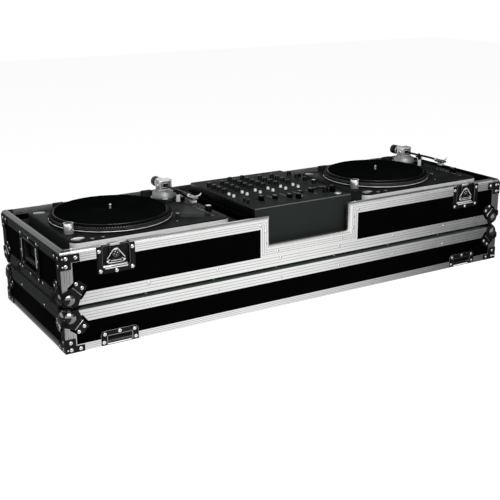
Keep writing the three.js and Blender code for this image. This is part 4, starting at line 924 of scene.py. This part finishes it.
def dressPlinth(name, body, matrix):
    x, y = arm["pivot"]
    dark = [pin("armPlate", (x + 7, y - 7, -0.2), (x + 7, y - 7, 3.4), 46, plastic, 64, 44.5, 0.8),
            slab("liftBlock", (x + 18, y - 62, -0.2), (x + 38, y - 34, 10.5), plastic, 2.5, 3),
            slab("armRest", (x - 2, y - 70, 29.5), (x + 19, y - 62, 34.6), plastic, 1.2),
            slab("armClip", (x + 8.2, y - 69.5, 34), (x + 11.6, y - 62.5, 43), plastic, 1.0)]
    settled(dark, name + "ArmSupports", body, matrix)
    (px, py), (lx, ly), (ax, ay) = deck["post"], deck["light"], deck["adaptor"]
    bright = [pin("restSleeve", (px, py, 0.2), (px, py, 21.5), 6.3, whitePlastic, 24, 5.8, 0.8),
              pin("heightRing", (x, y, 3), (x, y, 6.5), 41.2, darkChrome, 64, 40, 0.9),
              pin("lightCollar", (lx, ly, -0.2), (lx, ly, 1.8), 8.2, plastic, 24, 7.6, 0.5),
              pin("lightCap", (lx, ly, 8.6), (lx, ly, 10.2), 6.3, darkChrome, 24, 5.2, 0.5),
              pin("lightKey", (lx - 22, ly - 40, -0.2), (lx - 22, ly - 40, 1.4), 3.2, darkChrome, 20, 2.6),
              pin("adaptorDisc", (ax, ay, -4.8), (ax, ay, -0.6), 17.2, darkChrome, 40, 16.6, 0.6),
              pin("leverPost", (x + 30, y - 38, 10), (x + 30, y - 38, 20), 2.2, silver, 14),
              pin("leverGrip", (x + 30, y - 38, 19), (x + 38, y - 52, 21), 2.0, plastic, 12)]
    for bx in (60, 89):
        bright.append(pin("speedButton", (bx, 15.5, -0.2), (bx, 15.5, 1.1), 7, darkChrome, 24, 6.4))
    settled(bright, name + "DeckFittings", body, matrix)
    scaleX, ticks = deck["pitchX"], []
    for i in range(9):
        tickY, long = 46 + 13.5 * i, 14 if i % 2 else 17
        ticks.append(slab("pitchTick", (scaleX - long, tickY, -0.05), (scaleX - 9, tickY + 0.9, 0.18),
                          whitePlastic))
    for edgeX in (scaleX - 4.4, scaleX + 4.4):
        ticks.append(slab("pitchEdge", (edgeX - 0.5, 36, -0.05), (edgeX + 0.5, 164, 0.5), darkChrome, 0.15))
    settled(ticks, name + "PitchScale", body, matrix)


def capTop(inset, sink, material):  # a panel let into a knob's top
    def work(piece):
        addFinishes(piece, material)
        top = piece.bound_box[6][2]
        editFaces(piece, lambda centre, normal: normal.z > 0.9 and centre.z > top - 0.3 * mm)
        pressIn(inset, (0, 0, -sink))
        bpy.context.object.active_material_index = 1
        bpy.ops.object.material_slot_assign()
        doneEditing()
    return work


for side in ("left", "right"):
    part = f"turntable_{side}_"
    low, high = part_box(part + "platter")
    centre = ((low.x + high.x) / 2, (low.y + high.y) / 2)
    low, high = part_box(part + "plinth")
    paint = twoZoneMaterial("deckPaint" + side.title(), deck["top"] - deck["topBand"],
                            (low.x + deck["endBand"], high.x - deck["endBand"]))
    mat = ringedMaterial("ribbedMat" + side.title(), centre, deck["matRings"], deck["mat"], (0.5, 0.65))
    for piece, material, bevel, work in (
            ("plinth", paint, 1.0, None), ("platter", mat, 0.5, finishPlatter),
            ("arm_base", castSilver, 0.8, finishBase), ("tonearm", silver, 0.8, finishArm),
            ("start_button", darkChrome, 0.4, capTop(1.8, 0.4, paleSilver)),
            ("power_dial", paleSilver, 0.6, capTop(1.4, 0.8, plastic)),
            ("pitch_slider", plastic, 0.8, capTop(1.4, -0.1, silver))):
        softCopy(part + piece, material, bevel, work=work)
    corner = Matrix.Translation((low.x, low.y, deck["top"]))
    for dressed, node in ((dressPlatter, "platter"), (dressArm, "tonearm"), (dressPlinth, "plinth")):
        dressed(side, bodyOf[part + node], corner)
print("turntables dressed")

# mixer, measured from the middle of its front edge at its top
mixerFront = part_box("mixer_chassis")[0].y
panel = {"top": baseTop + 18 * mm, "tipRows": (140 * mm, 190 * mm), "tipTop": 14 * mm, "skirt": 1.5 * mm,
         "wideFrom": 120 * mm, "wideSkirt": 8 * mm, "flat": 0.4 * mm, "frontBand": 3 * mm,
         "faders": ((-54.4, 70), (-9.6, 62), (35.2, 74), (80, 84)), "switches": (112, 134)}


def finishMixer(piece):  # a paler front edge as painted highlight, ends painted dark as shade, and white tips on the low knobs
    addFinishes(piece, paintEdge, whitePlastic, knobPlastic, plastic)
    for face in piece.data.polygons:
        rise, depth = face.center.z - panel["top"], face.center.y - mixerFront
        if rise < panel["flat"]:
            # painted highlight on the front chamfer
            if 0.3 < face.normal.z < 0.95 and depth < panel["frontBand"] and rise > -panel["frontBand"]:
                face.material_index = 1
            # painted shade: the side faces darker
            elif abs(face.normal.x) > 0.9:
                face.material_index = 4
            continue
        near = panel["tipRows"][0] < depth < panel["tipRows"][1]
        skirt = panel["wideSkirt" if face.center.x > panel["wideFrom"] else "skirt"]
        face.material_index = 2 if near and skirt < rise < panel["tipTop"] else 3


# the chassis' bevelled edges take the painted highlight as well
softCopy("mixer_chassis", mixerPaint, 0.7, work=finishMixer, edge=paintEdge)
for node in ("mixer_channel_fader", "mixer_crossfader", "mixer_cue_knob"):
    softCopy(node, knobPlastic, 0.7)


def dressMixer(matrix):
    made, light = [], []
    for x, y in panel["faders"]:
        made.append(slab("faderTrack", (x - 2, 50, -0.1), (x + 2, 114, 0.25), plastic))
        made.append(slab("faderCap", (x - 5.5, y - 9, 0.1), (x + 5.5, y + 9, 11), plastic, 1.6))
        light.append(slab("faderLine", (x - 5, y - 0.4, 10.8), (x + 5, y + 0.4, 11.1), whitePlastic))
    for x in panel["switches"]:
        made.append(slab("keySwitch", (x - 8, 100, -0.1), (x + 8, 112, 4.2), plastic, 1.2))
    light.append(pin("socketPlate", (137, 27, -0.1), (137, 27, 1.6), 10.5, silver, 32, 9.8, 0.5))
    settled(made, "mixerFittings", "mixer", matrix)
    settled(light, "mixerLines", "mixer", matrix)
    mark = slab("crossfaderLine", (11.2, 29, 4), (11.9, 47, 14.2), whitePlastic, 0.2)
    settled([mark], "crossfaderMark", "mixer_crossfader", matrix)


dressMixer(Matrix.Translation((0, mixerFront, panel["top"])))
print("mixer dressed")

# floor, lamps and camera
studio = {"worldDiffuse": 0.2, "floorGlow": 0.88, "aim": (0, 0, 0.15),
          "camera": (-1.430, -2.275, 0.931), "turn": ((-31.54, "Z"), (72.86, "X"), (-0.22, "Z")),
          "lens": 65.84, "shift": (-0.0142, -0.0092)}


def rayKinds(tree):  # whether a mirror sees this, and whether the camera, a mirror or glass does
    path = tree.nodes.new("ShaderNodeLightPath").outputs
    seen = maths(tree, "MAXIMUM", path["Is Camera Ray"],
                 maths(tree, "MAXIMUM", path["Is Glossy Ray"], path["Is Transmission Ray"]))
    return path["Is Glossy Ray"], seen


def makeWorld():  # what metal sees of the room falls off to the right and overhead
    world = bpy.data.worlds.new("studio")
    bpy.context.scene.world = world
    world.use_nodes = True
    tree = world.node_tree
    glossy, seen = rayKinds(tree)
    sky = axes(tree, addNode(tree, "TexCoord").outputs["Generated"])
    toRight = ramp(tree, sky["X"], 0.51, 0.63, 1.0, 0.12, "SMOOTHSTEP")
    overhead = ramp(tree, sky["Z"], 0.42, 0.62, 1.0, 0.3, "SMOOTHSTEP")
    plain = ramp(tree, seen, 0, 1, studio["worldDiffuse"], 1.0)
    mirrored = times(tree, toRight, overhead)
    strength = addNode(tree, "Mix", {"Factor": glossy, 2: plain, 3: mirrored}).outputs[0]
    tree.links.new(strength, tree.nodes["Background"].inputs["Strength"])
    tree.nodes["Background"].inputs["Color"].default_value = grey(1)


def makeFloor():
    bpy.ops.mesh.primitive_plane_add(size=14, location=(0, 0, 0))
    material = bpy.data.materials.new("paleFloor")
    floor = named("floor", material)
    material.use_nodes = True
    tree = material.node_tree
    tree.nodes.remove(tree.nodes["Principled BSDF"])
    glossy, seen = rayKinds(tree)
    diffuse = addNode(tree, "BsdfDiffuse", {"Color": grey(0.75)})
    white = addNode(tree, "Emission", {"Color": grey(1), "Strength": studio["floorGlow"]})
    pale = addNode(tree, "BsdfDiffuse", {"Color": grey(0.4)})
    both = addNode(tree, "AddShader", {0: pale.outputs[0], 1: white.outputs[0]})
    # metal sees the floor brightest before the left half of the case, as under one broad lamp
    apart = axes(tree, addNode(tree, "TexCoord").outputs["Object"])
    before = maths(tree, "MINIMUM", maths(tree, "ADD", apart["Y"], halfDepth), 0.0)

    def faded(slant, start, end, low, high):
        along = maths(tree, "ADD", apart["X"], times(tree, before, slant))
        return ramp(tree, along, start, end, low, high, "SMOOTHSTEP")

    glow = times(tree, faded(1.1, -0.27, 0.7, 1.0, 0.1), faded(0.36, -0.95, -0.4, 0.62, 1.0))
    strength = times(tree, glow, faded(0.36, -0.752, -0.738, 0.12, 1.0))
    mirrored = addNode(tree, "Emission", {"Color": grey(1), "Strength": strength})
    bright = addNode(tree, "MixShader", {0: glossy, 1: both.outputs[0], 2: mirrored.outputs[0]})
    pick = addNode(tree, "MixShader", {0: seen, 1: diffuse.outputs[0], 2: bright.outputs[0]})
    tree.links.new(pick.outputs[0], tree.nodes["Material Output"].inputs["Surface"])


def addLamp(name, place, size, power):
    bpy.ops.object.light_add(type="AREA", location=place)
    lamp = bpy.context.object
    lamp.name = name
    lamp.data.shape = "RECTANGLE"
    lamp.data.size, lamp.data.size_y = size
    lamp.data.energy = power
    lamp.rotation_euler = (Vector(studio["aim"]) - Vector(place)).to_track_quat("-Z", "Y").to_euler()


def addCamera():
    bpy.ops.object.camera_add(location=studio["camera"])
    camera = bpy.context.object
    first, second, third = (spun(*turn) for turn in studio["turn"])
    camera.rotation_euler = (first @ second @ third).to_euler()
    camera.data.lens = studio["lens"]
    camera.data.sensor_width = 36
    camera.data.shift_x, camera.data.shift_y = studio["shift"]
    bpy.context.scene.camera = camera
    bpy.context.scene.view_settings.view_transform = "Standard"


makeWorld()
makeFloor()
addLamp("keyLamp", (-0.8, -2.7, 2.2), (2.4, 1.6), 70)
addLamp("fillLamp", (2.2, -1.6, 2.0), (1.6, 1.6), 4)
addCamera()
print("studio ready")
